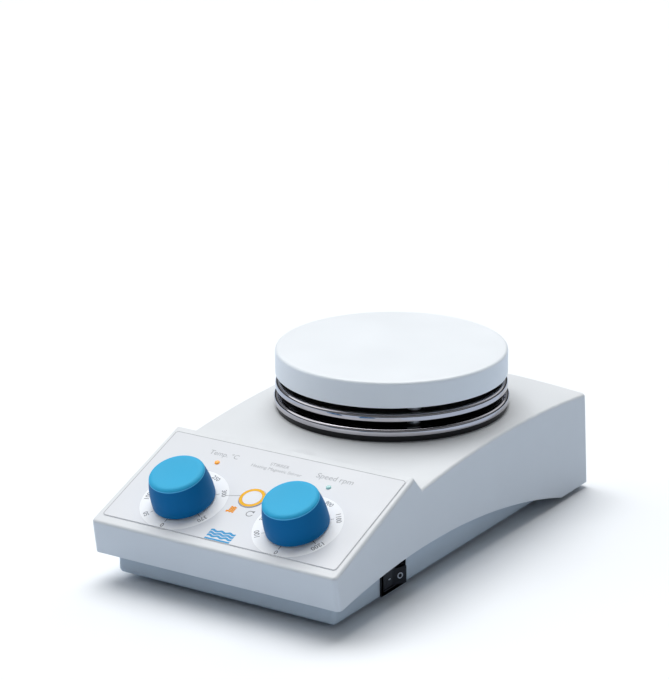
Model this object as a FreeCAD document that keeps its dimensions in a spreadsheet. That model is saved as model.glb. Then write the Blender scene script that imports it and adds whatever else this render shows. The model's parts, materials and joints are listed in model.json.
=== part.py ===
"""Magnetic stirrer with hot plate: a parametric FreeCAD document, in millimetres.

+Z is up, the control panel faces -Y and the mains switch is on the +X side.
The origin is on the bench, under the middle of the housing.
"""
import FreeCAD, Part
import math
import os
import re
import Sketcher
from FreeCAD import Placement, Rotation, Vector

os.makedirs("parts", exist_ok=True)
doc = FreeCAD.newDocument("magnetic_stirrer")

DIMENSIONS = {
    # housing
    "body_width": 165.0,
    "body_depth": 280.0,
    "base_clearance": 3.5,
    "shell_wall": 3.0,
    "side_draft": 1.9,
    "draft_height": 71.5,
    "corner_round": 3.0,
    "edge_round": 2.0,
    "front_top_z": 37.2,
    "front_lean": 0.17,
    "nose_allowance": 0.247,
    "panel_tilt": 20.95,
    "panel_length": 86.8,
    "lip_run": 9.8,
    "lip_drop": 11.0,
    "deck_radius": 800.0,
    "deck_apex_z": 69.3,
    "sweep_radius": 513.0,
    "sweep_y": -43.2,
    "sweep_top_z": 25.8,
    # base tray
    "tray_inset": 9.5,
    "tray_front_inset": 12.0,
    "tray_rear_gap": 4.5,
    "tray_wall": 2.5,
    "tray_round": 3.0,
    "tray_top_z": 28.0,
    "flange_reach": 5.2,
    "flange_thick": 2.2,
    "post_x": 66.0,
    "post_y": 100.0,
    "post_radius": 4.0,
    "screw_radius": 1.5,
    "foot_x": 50.0,
    "foot_y": 106.0,
    "foot_radius": 9.0,
    "foot_stub_radius": 3.0,
    "vent_width": 3.0,
    "vent_length": 26.0,
    "vent_pitch": 9.0,
    "vent_y": 108.0,
    # panel
    "overlay_half_width": 77.8,
    "overlay_start": 6.0,
    "overlay_end": 83.0,
    "overlay_thick": 0.3,
    "overlay_corner": 2.0,
    "knob_x": 38.0,
    "knob_s": 31.4,
    "knob_radius": 18.1,
    "knob_top_radius": 14.75,
    "knob_bulge": 0.9,
    "knob_height": 19.0,
    "knob_gap": 0.7,
    "knob_wall": 2.2,
    "knob_hub_radius": 6.0,
    "knob_edge": 2.2,
    "knob_dish": 0.5,
    "shaft_radius": 3.0,
    "shaft_fit": 0.03,
    "bushing_radius": 3.7,
    "pot_radius": 8.5,
    "pot_thick": 8.0,
    "nut_thick": 2.0,
    "nut_radius": 5.2,
    "lamp_x": 37.6,
    "lamp_s": 65.0,
    "lamp_radius": 1.5,
    "lamp_proud": 0.9,
    "key_s": 44.0,
    "key_radius": 7.85,
    "key_clear": 0.25,
    "key_travel": 0.4,
    "key_proud": 0.75,
    "key_flange_radius": 9.2,
    "key_flange_thick": 1.0,
    "key_stem_end": 8.5,
    "key_stem_radius": 2.0,
    "board_half_width": 54.0,
    "board_start": 16.0,
    "board_end": 76.0,
    "board_depth": 12.6,
    "board_thick": 1.6,
    # mains switch
    "switch_y": -70.5,
    "switch_z": 12.3,
    "bezel_length": 25.0,
    "bezel_height": 14.6,
    "bezel_thick": 1.2,
    "switch_body_length": 21.8,
    "switch_body_height": 11.8,
    "switch_depth": 17.0,
    "rocker_length": 19.0,
    "rocker_height": 9.6,
    "rocker_angle": 12.0,
    "rocker_face": 1.6,
    "rocker_back": 5.0,
    "rocker_room": 10.35,
    "rocker_sink": 1.0,
    # plate stack
    "plate_y": 46.0,
    "plate_radius": 68.6,
    "plate_top_z": 102.1,
    "plate_skirt_z": 86.4,
    "plate_skirt": 4.0,
    "plate_thick": 8.0,
    "plate_edge": 2.5,
    "shield_sheet": 0.8,
    "shield_rim": 4.2,
    "shield_bend": 2.4,
    "upper_shield_z": 82.7,
    "upper_shield_radius": 68.7,
    "lower_shield_z": 74.2,
    "lower_shield_radius": 69.7,
    "collar_radius": 68.4,
    "collar_wall": 3.0,
    "collar_bottom_z": 65.0,
    "collar_top_z": 71.0,
    "stud_circle": 58.0,
    "stud_radius": 2.45,
    "stud_hole": 2.55,
    "stud_bottom_z": 55.5,
    "stud_top_z": 96.5,
    "spacer_radius": 4.0,
    "spacer_bore": 2.8,
    "pad_radius": 6.0,
    "pad_top_z": 68.4,
    "pad_bottom_z": 61.5,
    "stud_nut_radius": 4.6,
    "heater_radius": 50.0,
    "heater_bore": 8.0,
    "heater_thick": 2.6,
    "clamp_thick": 1.5,
    "sensor_radius": 2.5,
    "insulation_z": 84.0,
    # motor
    "motor_radius": 32.0,
    "motor_bottom_z": 12.0,
    "motor_height": 32.0,
    "motor_wall": 2.0,
    "bearing_radius": 8.0,
    "bearing_height": 5.0,
    "stator_bore": 19.0,
    "core_radius": 18.4,
    "stator_height": 20.0,
    "motor_shaft_radius": 3.0,
    "bracket_size": 76.0,
    "bracket_thick": 2.0,
    "mount_radius": 4.0,
    "carrier_radius": 36.0,
    "carrier_thick": 3.0,
    "carrier_z": 53.0,
    "magnet_height": 7.0,
    "magnet_width": 22.0,
    "magnet_length": 18.0,
    "fan_radius": 28.0,
    "fan_hub_radius": 8.0,
    "fan_z": 45.6,
    "fan_height": 5.0,
    # power board
    "power_board_z": 11.0,
    "power_board_width": 104.0,
    "power_board_depth": 84.0,
    "power_board_x": -6.0,
    "power_board_y": -62.0,
    "transformer_x": -34.0,
    "transformer_y": -44.0,
    "core_width": 42.0,
    "core_depth": 14.0,
    "core_height": 35.0,
    "leg_width": 14.0,
    "window_width": 7.0,
    "window_height": 21.0,
    "sink_x": 26.0,
    "sink_y": -46.0,
    "sink_width": 36.0,
    "sink_height": 26.0,
    "fin_length": 10.0,
    "capacitor_radius": 7.0,
    "capacitor_height": 20.0,
    # rear fittings
    "recess_x": 4.5,
    "recess_width": 121.0,
    "recess_height": 25.5,
    "recess_depth": 2.2,
    "inlet_x": 36.0,
    "inlet_screw_x": 20.0,
    "inlet_z": 24.0,
    "inlet_flange_width": 50.0,
    "inlet_flange_height": 22.6,
    "inlet_body_width": 27.4,
    "inlet_body_height": 20.0,
    "inlet_cavity_width": 24.2,
    "inlet_cavity_height": 16.8,
    "inlet_depth": 21.0,
    "inlet_cavity_depth": 16.5,
    "fuse_x": -6.0,
    "fuse_radius": 6.0,
    "fuse_flange_radius": 8.5,
    "probe_x": -42.0,
    "probe_radius": 7.6,
    "probe_flange_radius": 10.0,
    "probe_cavity_radius": 6.2,
    "rod_x": -62.0,
    "rod_y": 118.0,
    "rod_bush_radius": 8.0,
    "rod_bush_top_z": 65.2,
    "rod_bush_length": 24.0,
    "rod_thread_radius": 4.25,
    "rod_thread_depth": 20.0,
}

sheet = doc.addObject("Spreadsheet::Sheet", "dims")
for row, (alias, value) in enumerate(DIMENSIONS.items(), start=1):
    sheet.set(f"A{row}", alias)
    sheet.set(f"B{row}", str(value))
    sheet.setAlias(f"B{row}", alias)
doc.recompute()

ALIAS = re.compile(r"\b(" + "|".join(sorted(DIMENSIONS, key=len, reverse=True)) + r")\b")
NODES = []

# Expressions that several pieces share.
PLATE_CEILING = "plate_top_z - plate_thick"
TRAY_FLOOR = "base_clearance + tray_wall"
TRAY_HALF = "body_width / 2 - tray_inset"
TRAY_FRONT = "-(body_depth / 2) + tray_front_inset"
TRAY_REAR = "body_depth / 2 - tray_rear_gap"
PANEL_PEAK_Y = "(-(body_depth / 2) + panel_length * cos(panel_tilt))"
PANEL_PEAK_Z = "(front_top_z + panel_length * sin(panel_tilt))"
ON_PANEL = Placement(Vector(0, -sheet.body_depth / 2, sheet.front_top_z),
                     Rotation(Vector(1, 0, 0), sheet.panel_tilt))
REAR_LEAN = sheet.side_draft / sheet.draft_height
ON_REAR = Placement(Vector(0, sheet.body_depth / 2 - REAR_LEAN * (sheet.inlet_z - sheet.base_clearance),
                           sheet.inlet_z), Rotation(Vector(1, 0, 0), math.degrees(math.atan(REAR_LEAN))))
ALONG_X = Rotation(Vector(0, 1, 0), 90)
ALONG_Y = Rotation(Vector(1, 0, 0), -90)
CORNERS = [(-1, -1), (1, -1), (1, 1), (-1, 1)]


# ---------------------------------------------------------------- helpers

def bind(item, prop, formula):
    """Tie a property to the sheet; bare aliases in the formula become dims.alias."""
    item.setExpression(prop, ALIAS.sub(r"dims.\1", formula))


def value_of(formula):
    """The number that a formula of aliases comes to."""
    probe = doc.getObject("formula_value") or doc.addObject("App::FeaturePython", "formula_value")
    if "Result" not in probe.PropertiesList:
        probe.addProperty("App::PropertyFloat", "Result")
    bind(probe, "Result", formula)
    doc.recompute([probe])
    return probe.Result


def place(item, base):
    """Tie the position of a primitive to three formulas."""
    for axis, formula in zip("xyz", base):
        bind(item, f"Placement.Base.{axis}", str(formula))


def block(name, size, centre):
    """A box of the given size around a centre, all as formulas."""
    item = doc.addObject("Part::Box", name)
    for prop, formula in zip(("Length", "Width", "Height"), size):
        bind(item, prop, formula)
    place(item, [f"({middle}) - ({span}) / 2" for middle, span in zip(centre, size)])
    return item


def rod(name, radius, length, base, turn=None):
    """A cylinder that starts at base and runs along +Z, or along the turned axis."""
    item = doc.addObject("Part::Cylinder", name)
    bind(item, "Radius", radius)
    bind(item, "Height", length)
    if turn:
        item.Placement = Placement(Vector(0, 0, 0), turn)
    place(item, base)
    return item


def cut(name, base, *tools):
    """The base less the tools."""
    item = doc.addObject("Part::Cut", name)
    item.Base = base
    item.Tool = tools[0] if len(tools) == 1 else group(name + "_tools", tools)
    return item


def fuse(name, *shapes):
    """One solid out of several that touch or overlap."""
    item = doc.addObject("Part::MultiFuse", name)
    item.Shapes = list(shapes)
    item.Refine = True
    return item


def group(name, shapes):
    """Separate solids kept together."""
    item = doc.addObject("Part::Compound", name)
    item.Links = list(shapes)
    return item


def common(name, *shapes):
    """What all the shapes share."""
    item = doc.addObject("Part::MultiCommon", name)
    item.Shapes = list(shapes)
    return item


def tube(name, outer, inner, length, base, turn=None):
    """A round tube; its bore runs right through."""
    wall = rod(name + "_wall", outer, length, base, turn)
    bore = rod(name + "_bore", inner, length, base, turn)
    return cut(name, wall, bore)


def outline_sketch(body, plane_role, points):
    """A closed outline of straight sides whose corners follow the sheet."""
    sketch = body.newObject("Sketcher::SketchObject", body.Name + "_outline")
    plane = [item for item in body.Origin.OriginFeatures if item.Role == plane_role][0]
    sketch.AttachmentSupport = [(plane, "")]
    sketch.MapMode = "FlatFace"
    corners = [Vector(value_of(u), value_of(v), 0) for u, v in points]
    count = len(corners)
    for index in range(count):
        side = Part.LineSegment(corners[index], corners[(index + 1) % count])
        sketch.addGeometry(side, False)
    for index in range(count):
        sketch.addConstraint(Sketcher.Constraint("Coincident", index, 2, (index + 1) % count, 1))
    for index, (u, v) in enumerate(points):
        for kind, formula, number in (("DistanceX", u, corners[index].x),
                                      ("DistanceY", v, corners[index].y)):
            which = sketch.addConstraint(Sketcher.Constraint(kind, -1, 1, index, 1, number))
            bind(sketch, f"Constraints[{which}]", formula)
    return sketch


def padded(name, plane_role, points, length, reversed_pad=False, symmetric=True):
    """A PartDesign pad of an outline."""
    body = doc.addObject("PartDesign::Body", name)
    sketch = outline_sketch(body, plane_role, points)
    pad = body.newObject("PartDesign::Pad", name + "_pad")
    pad.Profile = sketch
    pad.SideType = "Symmetric" if symmetric else "One side"
    pad.Reversed = reversed_pad
    bind(pad, "Length", length)
    return body


def turned(name, points, base=("0", "0", "0")):
    """A PartDesign revolution of (radius, height) points about a vertical axis."""
    body = doc.addObject("PartDesign::Body", name)
    sketch = outline_sketch(body, "XZ_Plane", points)
    spin = body.newObject("PartDesign::Revolution", name + "_revolution")
    spin.Profile = sketch
    spin.ReferenceAxis = (sketch, ["V_Axis"])
    spin.Angle = 360
    place(body, base)
    return body


def rounded(name, base, radius, wanted):
    """A Part fillet on the edges that `wanted` picks out by their middle points."""
    doc.recompute()
    chosen = []
    for index, edge in enumerate(base.Shape.Edges, start=1):
        middle = edge.valueAt((edge.FirstParameter + edge.LastParameter) / 2)
        if wanted(edge, middle):
            chosen.append((index, radius, radius))
    item = doc.addObject("Part::Fillet", name)
    item.Base = base
    item.Edges = chosen
    return item


def node(name, item, placement=None):
    """Register a finished sub-part; its label names its file."""
    item.Label = name
    if placement:
        item.Placement = placement
    NODES.append(item)
    return item


# ---------------------------------------------------------------- upper housing

def housing_halves(name, inset):
    """The front wedge and the rear block of the shell, drawn in by `inset` from its outer faces."""
    half = f"(body_width / 2 - {inset})"
    rear = f"(body_depth / 2 - {inset})"
    walls = doc.addObject("Part::Wedge", name + "_walls")
    walls.Placement = Placement(Vector(0, 0, 0), Rotation(Vector(1, 0, 0), 90))
    bind(walls, "Xmin", f"-{half}")
    bind(walls, "Xmax", half)
    bind(walls, "X2min", f"-{half} + side_draft")
    bind(walls, "X2max", f"{half} - side_draft")
    bind(walls, "Ymin", "base_clearance")
    bind(walls, "Ymax", "base_clearance + draft_height")
    bind(walls, "Zmin", f"-{rear}")
    bind(walls, "Zmax", "body_depth / 2 + 5")
    bind(walls, "Z2min", f"-{rear} + side_draft")
    bind(walls, "Z2max", "body_depth / 2 + 5")
    drop = f"{inset} / cos(panel_tilt)"
    front_y = f"(-(body_depth / 2) - nose_allowance + {inset})"
    foot_y = f"({front_y} + front_lean * (front_top_z - base_clearance + 1))"
    shoulder = f"(front_top_z - {drop} + ({inset} - nose_allowance) * tan(panel_tilt))"
    lip_end = f"({PANEL_PEAK_Y} + lip_run)"
    profile = padded(name + "_profile", "YZ_Plane", [
        (foot_y, "base_clearance - 1"),
        (front_y, shoulder),
        (PANEL_PEAK_Y, f"({PANEL_PEAK_Z} - {drop})"),
        (lip_end, f"({PANEL_PEAK_Z} - {drop} - lip_drop)"),
        (lip_end, "base_clearance - 1")], "body_width + 10")
    rear_block = doc.addObject("Part::Box", name + "_rear_block")
    bind(rear_block, "Length", "body_width + 10")
    bind(rear_block, "Width", f"body_depth / 2 + 5 - {PANEL_PEAK_Y}")
    bind(rear_block, "Height", "draft_height + 10")
    place(rear_block, ["-(body_width / 2) - 5", PANEL_PEAK_Y, "base_clearance - 1"])
    crown = doc.addObject("Part::Sphere", name + "_crown")
    crown.Placement = Placement(Vector(0, 0, 0), ALONG_X)
    bind(crown, "Radius", f"deck_radius - {inset}")
    place(crown, ["0", "plate_y", "deck_apex_z - deck_radius"])
    front = common(name + "_front", walls, profile)
    rear = common(name + "_rear", walls, rear_block, crown)
    return front, rear


def rear_openings():
    """Cutters for the recess in the rear wall and the fittings that sit in it."""
    holes = [block("rear_recess", ["recess_width", "recess_depth * 2", "recess_height"],
                   ["recess_x", "0", "0"]),
             block("inlet_hole", ["inlet_body_width + 0.2", "30", "inlet_body_height + 0.2"],
                   ["inlet_x", "0", "0"]),
             rod("fuse_hole", "fuse_radius + 0.1", "20", ["fuse_x", "-15", "0"], ALONG_Y),
             rod("probe_hole", "probe_radius + 0.1", "20", ["probe_x", "-15", "0"], ALONG_Y)]
    for side in (-1, 1):
        holes.append(rod(f"inlet_screw_hole_{side + 1}", "screw_radius + 0.05", "20",
                         [f"inlet_x + {side} * inlet_screw_x", "-15", "0"], ALONG_Y))
    return holes


def upper_housing():
    """Moulded shell: sloped panel, raised lip, crowned deck and a swept lower edge."""
    half = value_of("body_width / 2")
    front, rear = housing_halves("outer", "0")

    def upright_corner(edge, middle):
        box = edge.BoundBox
        far = abs(middle.y) > 100
        return far and abs(middle.x) > half - 5 and box.ZLength > 15 and box.YLength < 8

    def panel_rim(edge, middle):
        box = edge.BoundBox
        on_front = box.XLength > 20 and middle.y < -100
        on_side = abs(middle.x) > half - 7 and box.ZLength > 1 and box.XLength < 6
        return middle.z > 25 and (on_front or on_side) and middle.y < value_of(PANEL_PEAK_Y) + 9

    def deck_rim(edge, middle):
        box = edge.BoundBox
        on_rear = middle.y > 100 and box.ZLength < 10
        on_side = abs(middle.x) > half - 7 and box.YLength > 20
        return middle.z > 50 and (on_rear or on_side)

    front = rounded("front_corners", front, sheet.corner_round, upright_corner)
    front = rounded("front_soft", front, sheet.edge_round, panel_rim)
    rear = rounded("rear_corners", rear, sheet.corner_round, upright_corner)
    rear = rounded("rear_soft", rear, sheet.edge_round, deck_rim)
    outer = fuse("outer_form", front, rear)
    inner = fuse("inner_form", *housing_halves("inner", "shell_wall"))
    sweep = rod("sweep", "sweep_radius", "body_width + 20",
                ["-(body_width / 2) - 10", "sweep_y", "sweep_top_z - sweep_radius"], ALONG_X)
    posts = [rod(f"post_{index}", "post_radius", "draft_height",
                 [f"{x} * post_x", f"{y} * post_y", TRAY_FLOOR])
             for index, (x, y) in enumerate(CORNERS)]
    pads = [rod(f"pad_{index}", "pad_radius", "pad_top_z - pad_bottom_z",
                [f"{x} * stud_circle * sqrt(0.5)", f"plate_y + {y} * stud_circle * sqrt(0.5)",
                 "pad_bottom_z"])
            for index, (x, y) in enumerate(CORNERS)]
    rod_boss = rod("rod_boss", "rod_bush_radius + 2.5", "rod_bush_length",
                   ["rod_x", "rod_y", "rod_bush_top_z - rod_bush_length - 2"])
    inside = common("inside_posts", outer, group("inside_post_set", posts + [rod_boss]))
    backing = group("rear_backing_set", [
        block("rear_backing", ["recess_width + 6", "recess_depth + 0.5", "recess_height"],
              ["recess_x", "-shell_wall - recess_depth / 2 + 0.25", "0"])])
    backing.Placement = ON_REAR
    shell = fuse("shell_with_posts", cut("shell", outer, inner, sweep), inside, backing, *pads)
    pilots = [rod(f"pilot_{index}", "screw_radius + 0.05", "18",
                  [f"{x} * post_x", f"{y} * post_y", "base_clearance"])
              for index, (x, y) in enumerate(CORNERS)]
    stud_holes = [rod(f"deck_hole_{index}", "stud_hole", "30",
                      [f"{x} * stud_circle * sqrt(0.5)", f"plate_y + {y} * stud_circle * sqrt(0.5)",
                       "stud_bottom_z"])
                  for index, (x, y) in enumerate(CORNERS)]
    lead_hole = rod("lead_hole", "5", "30", ["0", "plate_y + stud_circle - 10", "50"])
    rod_hole = rod("rod_hole", "rod_bush_radius + 0.05", "rod_bush_length + 10",
                   ["rod_x", "rod_y", "rod_bush_top_z - rod_bush_length"])
    rear_holes = group("rear_holes", rear_openings())
    rear_holes.Placement = ON_REAR
    bushings = [rod(f"bushing_hole_{side + 1}", "bushing_radius + 0.1", "10",
                    [f"{side} * knob_x", "knob_s", "-5"]) for side in (-1, 1)]
    lamps = [rod(f"lamp_hole_{side + 1}", "lamp_radius + 0.05", "10",
                 [f"{side} * lamp_x", "lamp_s", "-5"]) for side in (-1, 1)]
    key_hole = rod("key_hole", "key_radius + key_clear", "10", ["0", "key_s", "-5"])
    panel_holes = group("panel_holes", bushings + lamps + [key_hole])
    panel_holes.Placement = ON_PANEL
    holes = pilots + stud_holes + [lead_hole, rod_hole, panel_holes, rear_holes]
    node("upper_housing", cut("upper_housing_body", shell, *holes))


# ---------------------------------------------------------------- base tray

def at_corners(name, radius, length, x, y, z):
    """Four upright cylinders at +-x, +-y."""
    return [rod(f"{name}_{index}", radius, length, [f"{side} * ({x})", f"{end} * ({y})", z])
            for index, (side, end) in enumerate(CORNERS)]


def base_tray():
    """Shallow pan under the shell; its top flange reaches the shell's inner wall."""
    width = f"2 * ({TRAY_HALF})"
    depth = f"(({TRAY_REAR}) - ({TRAY_FRONT}))"
    middle_y = f"(({TRAY_REAR}) + ({TRAY_FRONT})) / 2"
    tall = "(tray_top_z - base_clearance)"
    pan = block("tray_pan", [width, depth, tall], ["0", middle_y, f"base_clearance + {tall} / 2"])
    flange = block("tray_flange", [f"{width} + 2 * flange_reach", f"{depth} + flange_reach",
                                   "flange_thick"],
                   ["0", f"{middle_y} - flange_reach / 2", "tray_top_z - flange_thick / 2"])
    pan = rounded("tray_soft", pan, sheet.tray_round,
                  lambda edge, middle: middle.z < sheet.tray_top_z - 1)
    hollow = block("tray_hollow", [f"{width} - 2 * tray_wall", f"{depth} - 2 * tray_wall", tall],
                   ["0", middle_y, f"{TRAY_FLOOR} + {tall} / 2"])
    rear_notch = block("tray_rear_notch", ["recess_width + 10", "20", "30"],
                       ["recess_x", TRAY_REAR, "inlet_z - recess_height / 2 - 0.5 + 15"])
    switch_hole = block("tray_switch_hole", ["20", "switch_body_length + 0.2", "switch_body_height + 0.2"],
                        [TRAY_HALF, "switch_y", "switch_z"])
    screws = at_corners("tray_screw_hole", "screw_radius + 0.1", "10", "post_x", "post_y", "0")
    stubs = at_corners("tray_stub_hole", "foot_stub_radius + 0.05", "10", "foot_x", "foot_y", "0")
    vents = [block(f"tray_vent_{index}", ["vent_width", "vent_length", "10"],
                   [f"{index - 3} * vent_pitch", "vent_y", "base_clearance"]) for index in range(7)]
    pegs = [rod(f"tray_peg_{index}", "3.5", f"power_board_z - ({TRAY_FLOOR}) + 0.5",
                [f"power_board_x + {x} * (power_board_width / 2 - 5)",
                 f"power_board_y + {y} * (power_board_depth / 2 - 5)", f"{TRAY_FLOOR} - 0.5"])
            for index, (x, y) in enumerate(CORNERS)]
    peg_holes = [rod(f"tray_peg_hole_{index}", "1.25", "12",
                     [f"power_board_x + {x} * (power_board_width / 2 - 5)",
                      f"power_board_y + {y} * (power_board_depth / 2 - 5)", f"{TRAY_FLOOR} + 0.2"])
                 for index, (x, y) in enumerate(CORNERS)]
    tray = cut("tray_open", fuse("tray_outer", pan, flange), hollow, rear_notch, switch_hole,
               *screws, *stubs, *vents)
    node("base_tray", cut("tray_body", fuse("tray_with_pegs", tray, *pegs), *peg_holes))


def feet_and_screws():
    """Rubber feet with stubs through the floor, and the screws that hold the shell down."""
    pads = at_corners("foot_pad", "foot_radius", "base_clearance", "foot_x", "foot_y", "0")
    stubs = at_corners("foot_stub", "foot_stub_radius", f"{TRAY_FLOOR} + 1.5", "foot_x", "foot_y", "0")
    feet = [fuse(f"foot_{index}", pad, stub) for index, (pad, stub) in enumerate(zip(pads, stubs))]
    node("rubber_feet", group("rubber_feet_set", feet))
    heads = at_corners("screw_head", "2 * screw_radius", "1.6", "post_x", "post_y",
                       "base_clearance - 1.6")
    shanks = at_corners("screw_shank", "screw_radius", "14", "post_x", "post_y",
                        "base_clearance - 1.6")
    screws = [fuse(f"base_screw_{index}", head, shank)
              for index, (head, shank) in enumerate(zip(heads, shanks))]
    node("base_screws", group("base_screws_set", screws))


# ---------------------------------------------------------------- control panel

def panel_overlay():
    """Thin printed film on the sloped face, with holes for the controls."""
    film = block("overlay_film", ["2 * overlay_half_width", "overlay_end - overlay_start",
                                  "overlay_thick"],
                 ["0", "(overlay_end + overlay_start) / 2", "overlay_thick / 2"])
    film = rounded("overlay_soft", film, sheet.overlay_corner,
                   lambda edge, middle: edge.BoundBox.ZLength > 0.1)
    holes = [rod(f"overlay_bushing_{side + 1}", "bushing_radius + 0.15", "3",
                 [f"{side} * knob_x", "knob_s", "-1"]) for side in (-1, 1)]
    holes += [rod(f"overlay_lamp_{side + 1}", "lamp_radius + 0.05", "3",
                  [f"{side} * lamp_x", "lamp_s", "-1"]) for side in (-1, 1)]
    holes.append(rod("overlay_key", "key_radius + key_clear", "3", ["0", "key_s", "-1"]))
    node("panel_overlay", cut("overlay_body", film, *holes), ON_PANEL)


def knob(name, side):
    """Tapered, slightly bulged knob with a dished top and a hub for the shaft."""
    bottom = "overlay_thick + knob_gap"
    steps = 8
    flank = []
    for index in range(steps + 1):
        part = index / steps
        swell = 4 * part * (1 - part)
        flank.append((f"knob_radius + (knob_top_radius - knob_radius) * {part} + {swell} * knob_bulge",
                      f"{bottom} + (knob_height - knob_edge) * {part}"))
    hub_bottom = "overlay_thick + nut_thick + 2"
    points = [("shaft_radius + 0.02", hub_bottom), ("knob_hub_radius", hub_bottom),
              ("knob_hub_radius", f"{bottom} + knob_height - 5"),
              ("knob_top_radius - knob_wall - 0.6", f"{bottom} + knob_height - 5"),
              ("knob_radius - knob_wall", bottom)]
    points += flank
    points += [("knob_top_radius - knob_edge * 0.3", f"{bottom} + knob_height - knob_edge * 0.3"),
               ("knob_top_radius - knob_edge", f"{bottom} + knob_height"),
               ("0", f"{bottom} + knob_height - knob_dish"),
               ("0", f"{bottom} + knob_height - 4"),
               ("shaft_radius + 0.02", f"{bottom} + knob_height - 4")]
    body = turned(name + "_body", points, [f"{side} * knob_x", "knob_s", "0"])
    node(name, group(name + "_set", [body]), ON_PANEL)


def potentiometer(name, side):
    """Rotary control: body under the panel, bushing through it, terminals down to the board."""
    x = f"{side} * knob_x"
    can = rod(name + "_can", "pot_radius", "pot_thick", [x, "knob_s", "-shell_wall - pot_thick"])
    bushing = rod(name + "_bushing", "bushing_radius", "shell_wall + overlay_thick + nut_thick + 1.5",
                  [x, "knob_s", "-shell_wall - 0.5"])
    tabs = block(name + "_tabs", ["12", "5", "board_depth - shell_wall - pot_thick + 0.5"],
                 [x, "knob_s", "-(board_depth + shell_wall + pot_thick - 0.5) / 2"])
    bore = rod(name + "_bore", "shaft_radius + shaft_fit", "40",
               [x, "knob_s", "-shell_wall - pot_thick + 2"])
    node(name, cut(name + "_body", fuse(name + "_solid", can, bushing, tabs), bore), ON_PANEL)


def knob_shaft(name, side):
    """Spindle from the potentiometer up into the knob."""
    spindle = rod(name + "_rod", "shaft_radius",
                  "shell_wall + pot_thick - 2.2 + overlay_thick + knob_gap + knob_height - 4.1",
                  [f"{side} * knob_x", "knob_s", "-shell_wall - pot_thick + 2.2"])
    node(name, group(name + "_set", [spindle]), ON_PANEL)


def bushing_nuts():
    """Hexagon nuts that clamp the two potentiometers to the panel."""
    nuts = []
    for side in (-1, 1):
        hexagon = doc.addObject("Part::Prism", f"bushing_nut_hex_{side + 1}")
        hexagon.Polygon = 6
        bind(hexagon, "Circumradius", "nut_radius")
        bind(hexagon, "Height", "nut_thick")
        place(hexagon, [f"{side} * knob_x", "knob_s", "overlay_thick"])
        bore = rod(f"bushing_nut_bore_{side + 1}", "bushing_radius + 0.02", "10",
                   [f"{side} * knob_x", "knob_s", "-1"])
        nuts.append(cut(f"bushing_nut_{side + 1}", hexagon, bore))
    node("bushing_nuts", group("bushing_nuts_set", nuts), ON_PANEL)


def lamp(name, side):
    """Round-topped lens that carries light from the control board to the panel."""
    lens = rod(name + "_lens", "lamp_radius", "board_depth + overlay_thick + lamp_proud",
               [f"{side} * lamp_x", "lamp_s", "-board_depth"])
    lens = rounded(name + "_dome", lens, sheet.lamp_proud * 0.9,
                   lambda edge, middle: middle.z > 0 and edge.BoundBox.ZLength < 0.1)
    node(name, group(name + "_set", [lens]), ON_PANEL)


def mode_key():
    """Round push key: a cap in the panel with a catch flange and a stem behind it."""
    flange_top = "-shell_wall - 0.1"
    flange_end = "-shell_wall - 0.1 - key_flange_thick"
    points = [("0", "-key_stem_end"), ("key_stem_radius", "-key_stem_end"),
              ("key_stem_radius", flange_end), ("key_flange_radius", flange_end),
              ("key_flange_radius", flange_top), ("key_radius", flange_top),
              ("key_radius", "key_proud - 0.3"), ("key_radius - 0.3", "key_proud"), ("0", "key_proud")]
    body = turned("mode_key_body", points, ["0", "key_s", "0"])
    node("mode_key", group("mode_key_set", [body]), ON_PANEL)


def control_board():
    """Circuit board parallel to the panel, with the switch that the key presses."""
    board = block("control_board_plate", ["2 * board_half_width", "board_end - board_start",
                                          "board_thick"],
                  ["0", "(board_start + board_end) / 2", "-board_depth - board_thick / 2"])
    node("control_board", group("control_board_set", [board]), ON_PANEL)
    base_height = "board_depth - key_stem_end - key_travel - 0.45"
    base = block("tact_base", ["6", "6", base_height],
                 ["0", "key_s", f"-board_depth + ({base_height}) / 2"])
    plunger = rod("tact_plunger", "1.75", f"{base_height} + 0.4", ["0", "key_s", "-board_depth"])
    node("tact_switch", fuse("tact_switch_body", base, plunger), ON_PANEL)


# ---------------------------------------------------------------- mains switch

def mains_switch():
    """Rocker switch in the right wall of the tray; it rests with the I side pressed."""
    wall = TRAY_HALF
    bezel = block("switch_bezel", ["bezel_thick", "bezel_length", "bezel_height"],
                  [f"{wall} + bezel_thick / 2", "switch_y", "switch_z"])
    can = block("switch_can", ["switch_depth + 0.5", "switch_body_length", "switch_body_height"],
                [f"{wall} + 0.25 - switch_depth / 2", "switch_y", "switch_z"])
    room = block("switch_room", ["10 + bezel_thick", "2 * rocker_room", "rocker_height + 0.4"],
                 [f"{wall} + bezel_thick - 5", "switch_y", "switch_z"])
    well = block("switch_well", ["8", "14", "rocker_height + 0.4"],
                 [f"{wall} - 9", "switch_y", "switch_z"])
    node("switch_housing", cut("switch_shell", fuse("switch_solid", bezel, can), room, well))
    tip = "(rocker_face + rocker_length / 2 * tan(rocker_angle))"
    end = "(rocker_length / 2)"
    outline = [("rocker_face", "0"), (tip, end), ("-1", f"{end} - 0.2"), ("-rocker_back", "5"),
               ("-rocker_back", "-5"), ("-1", f"-{end} + 0.2"), (tip, f"-{end}")]
    rocker = padded("rocker_body", "XY_Plane", outline, "rocker_height")
    rocker.Placement = Placement(Vector(0, 0, 0), Rotation(Vector(0, 0, 1), -sheet.rocker_angle))
    place(rocker, [f"{wall} - rocker_sink", "switch_y", "switch_z"])
    node("switch_rocker", rocker)
    tabs = [block(f"switch_tab_{index}", ["8.2", "0.8", "4.8"],
                  [f"{wall} - switch_depth - 4.1", f"switch_y + {index - 1} * 7", "switch_z"])
            for index in range(3)]
    node("switch_terminals", group("switch_terminals_set", tabs))


# ---------------------------------------------------------------- plate stack

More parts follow.
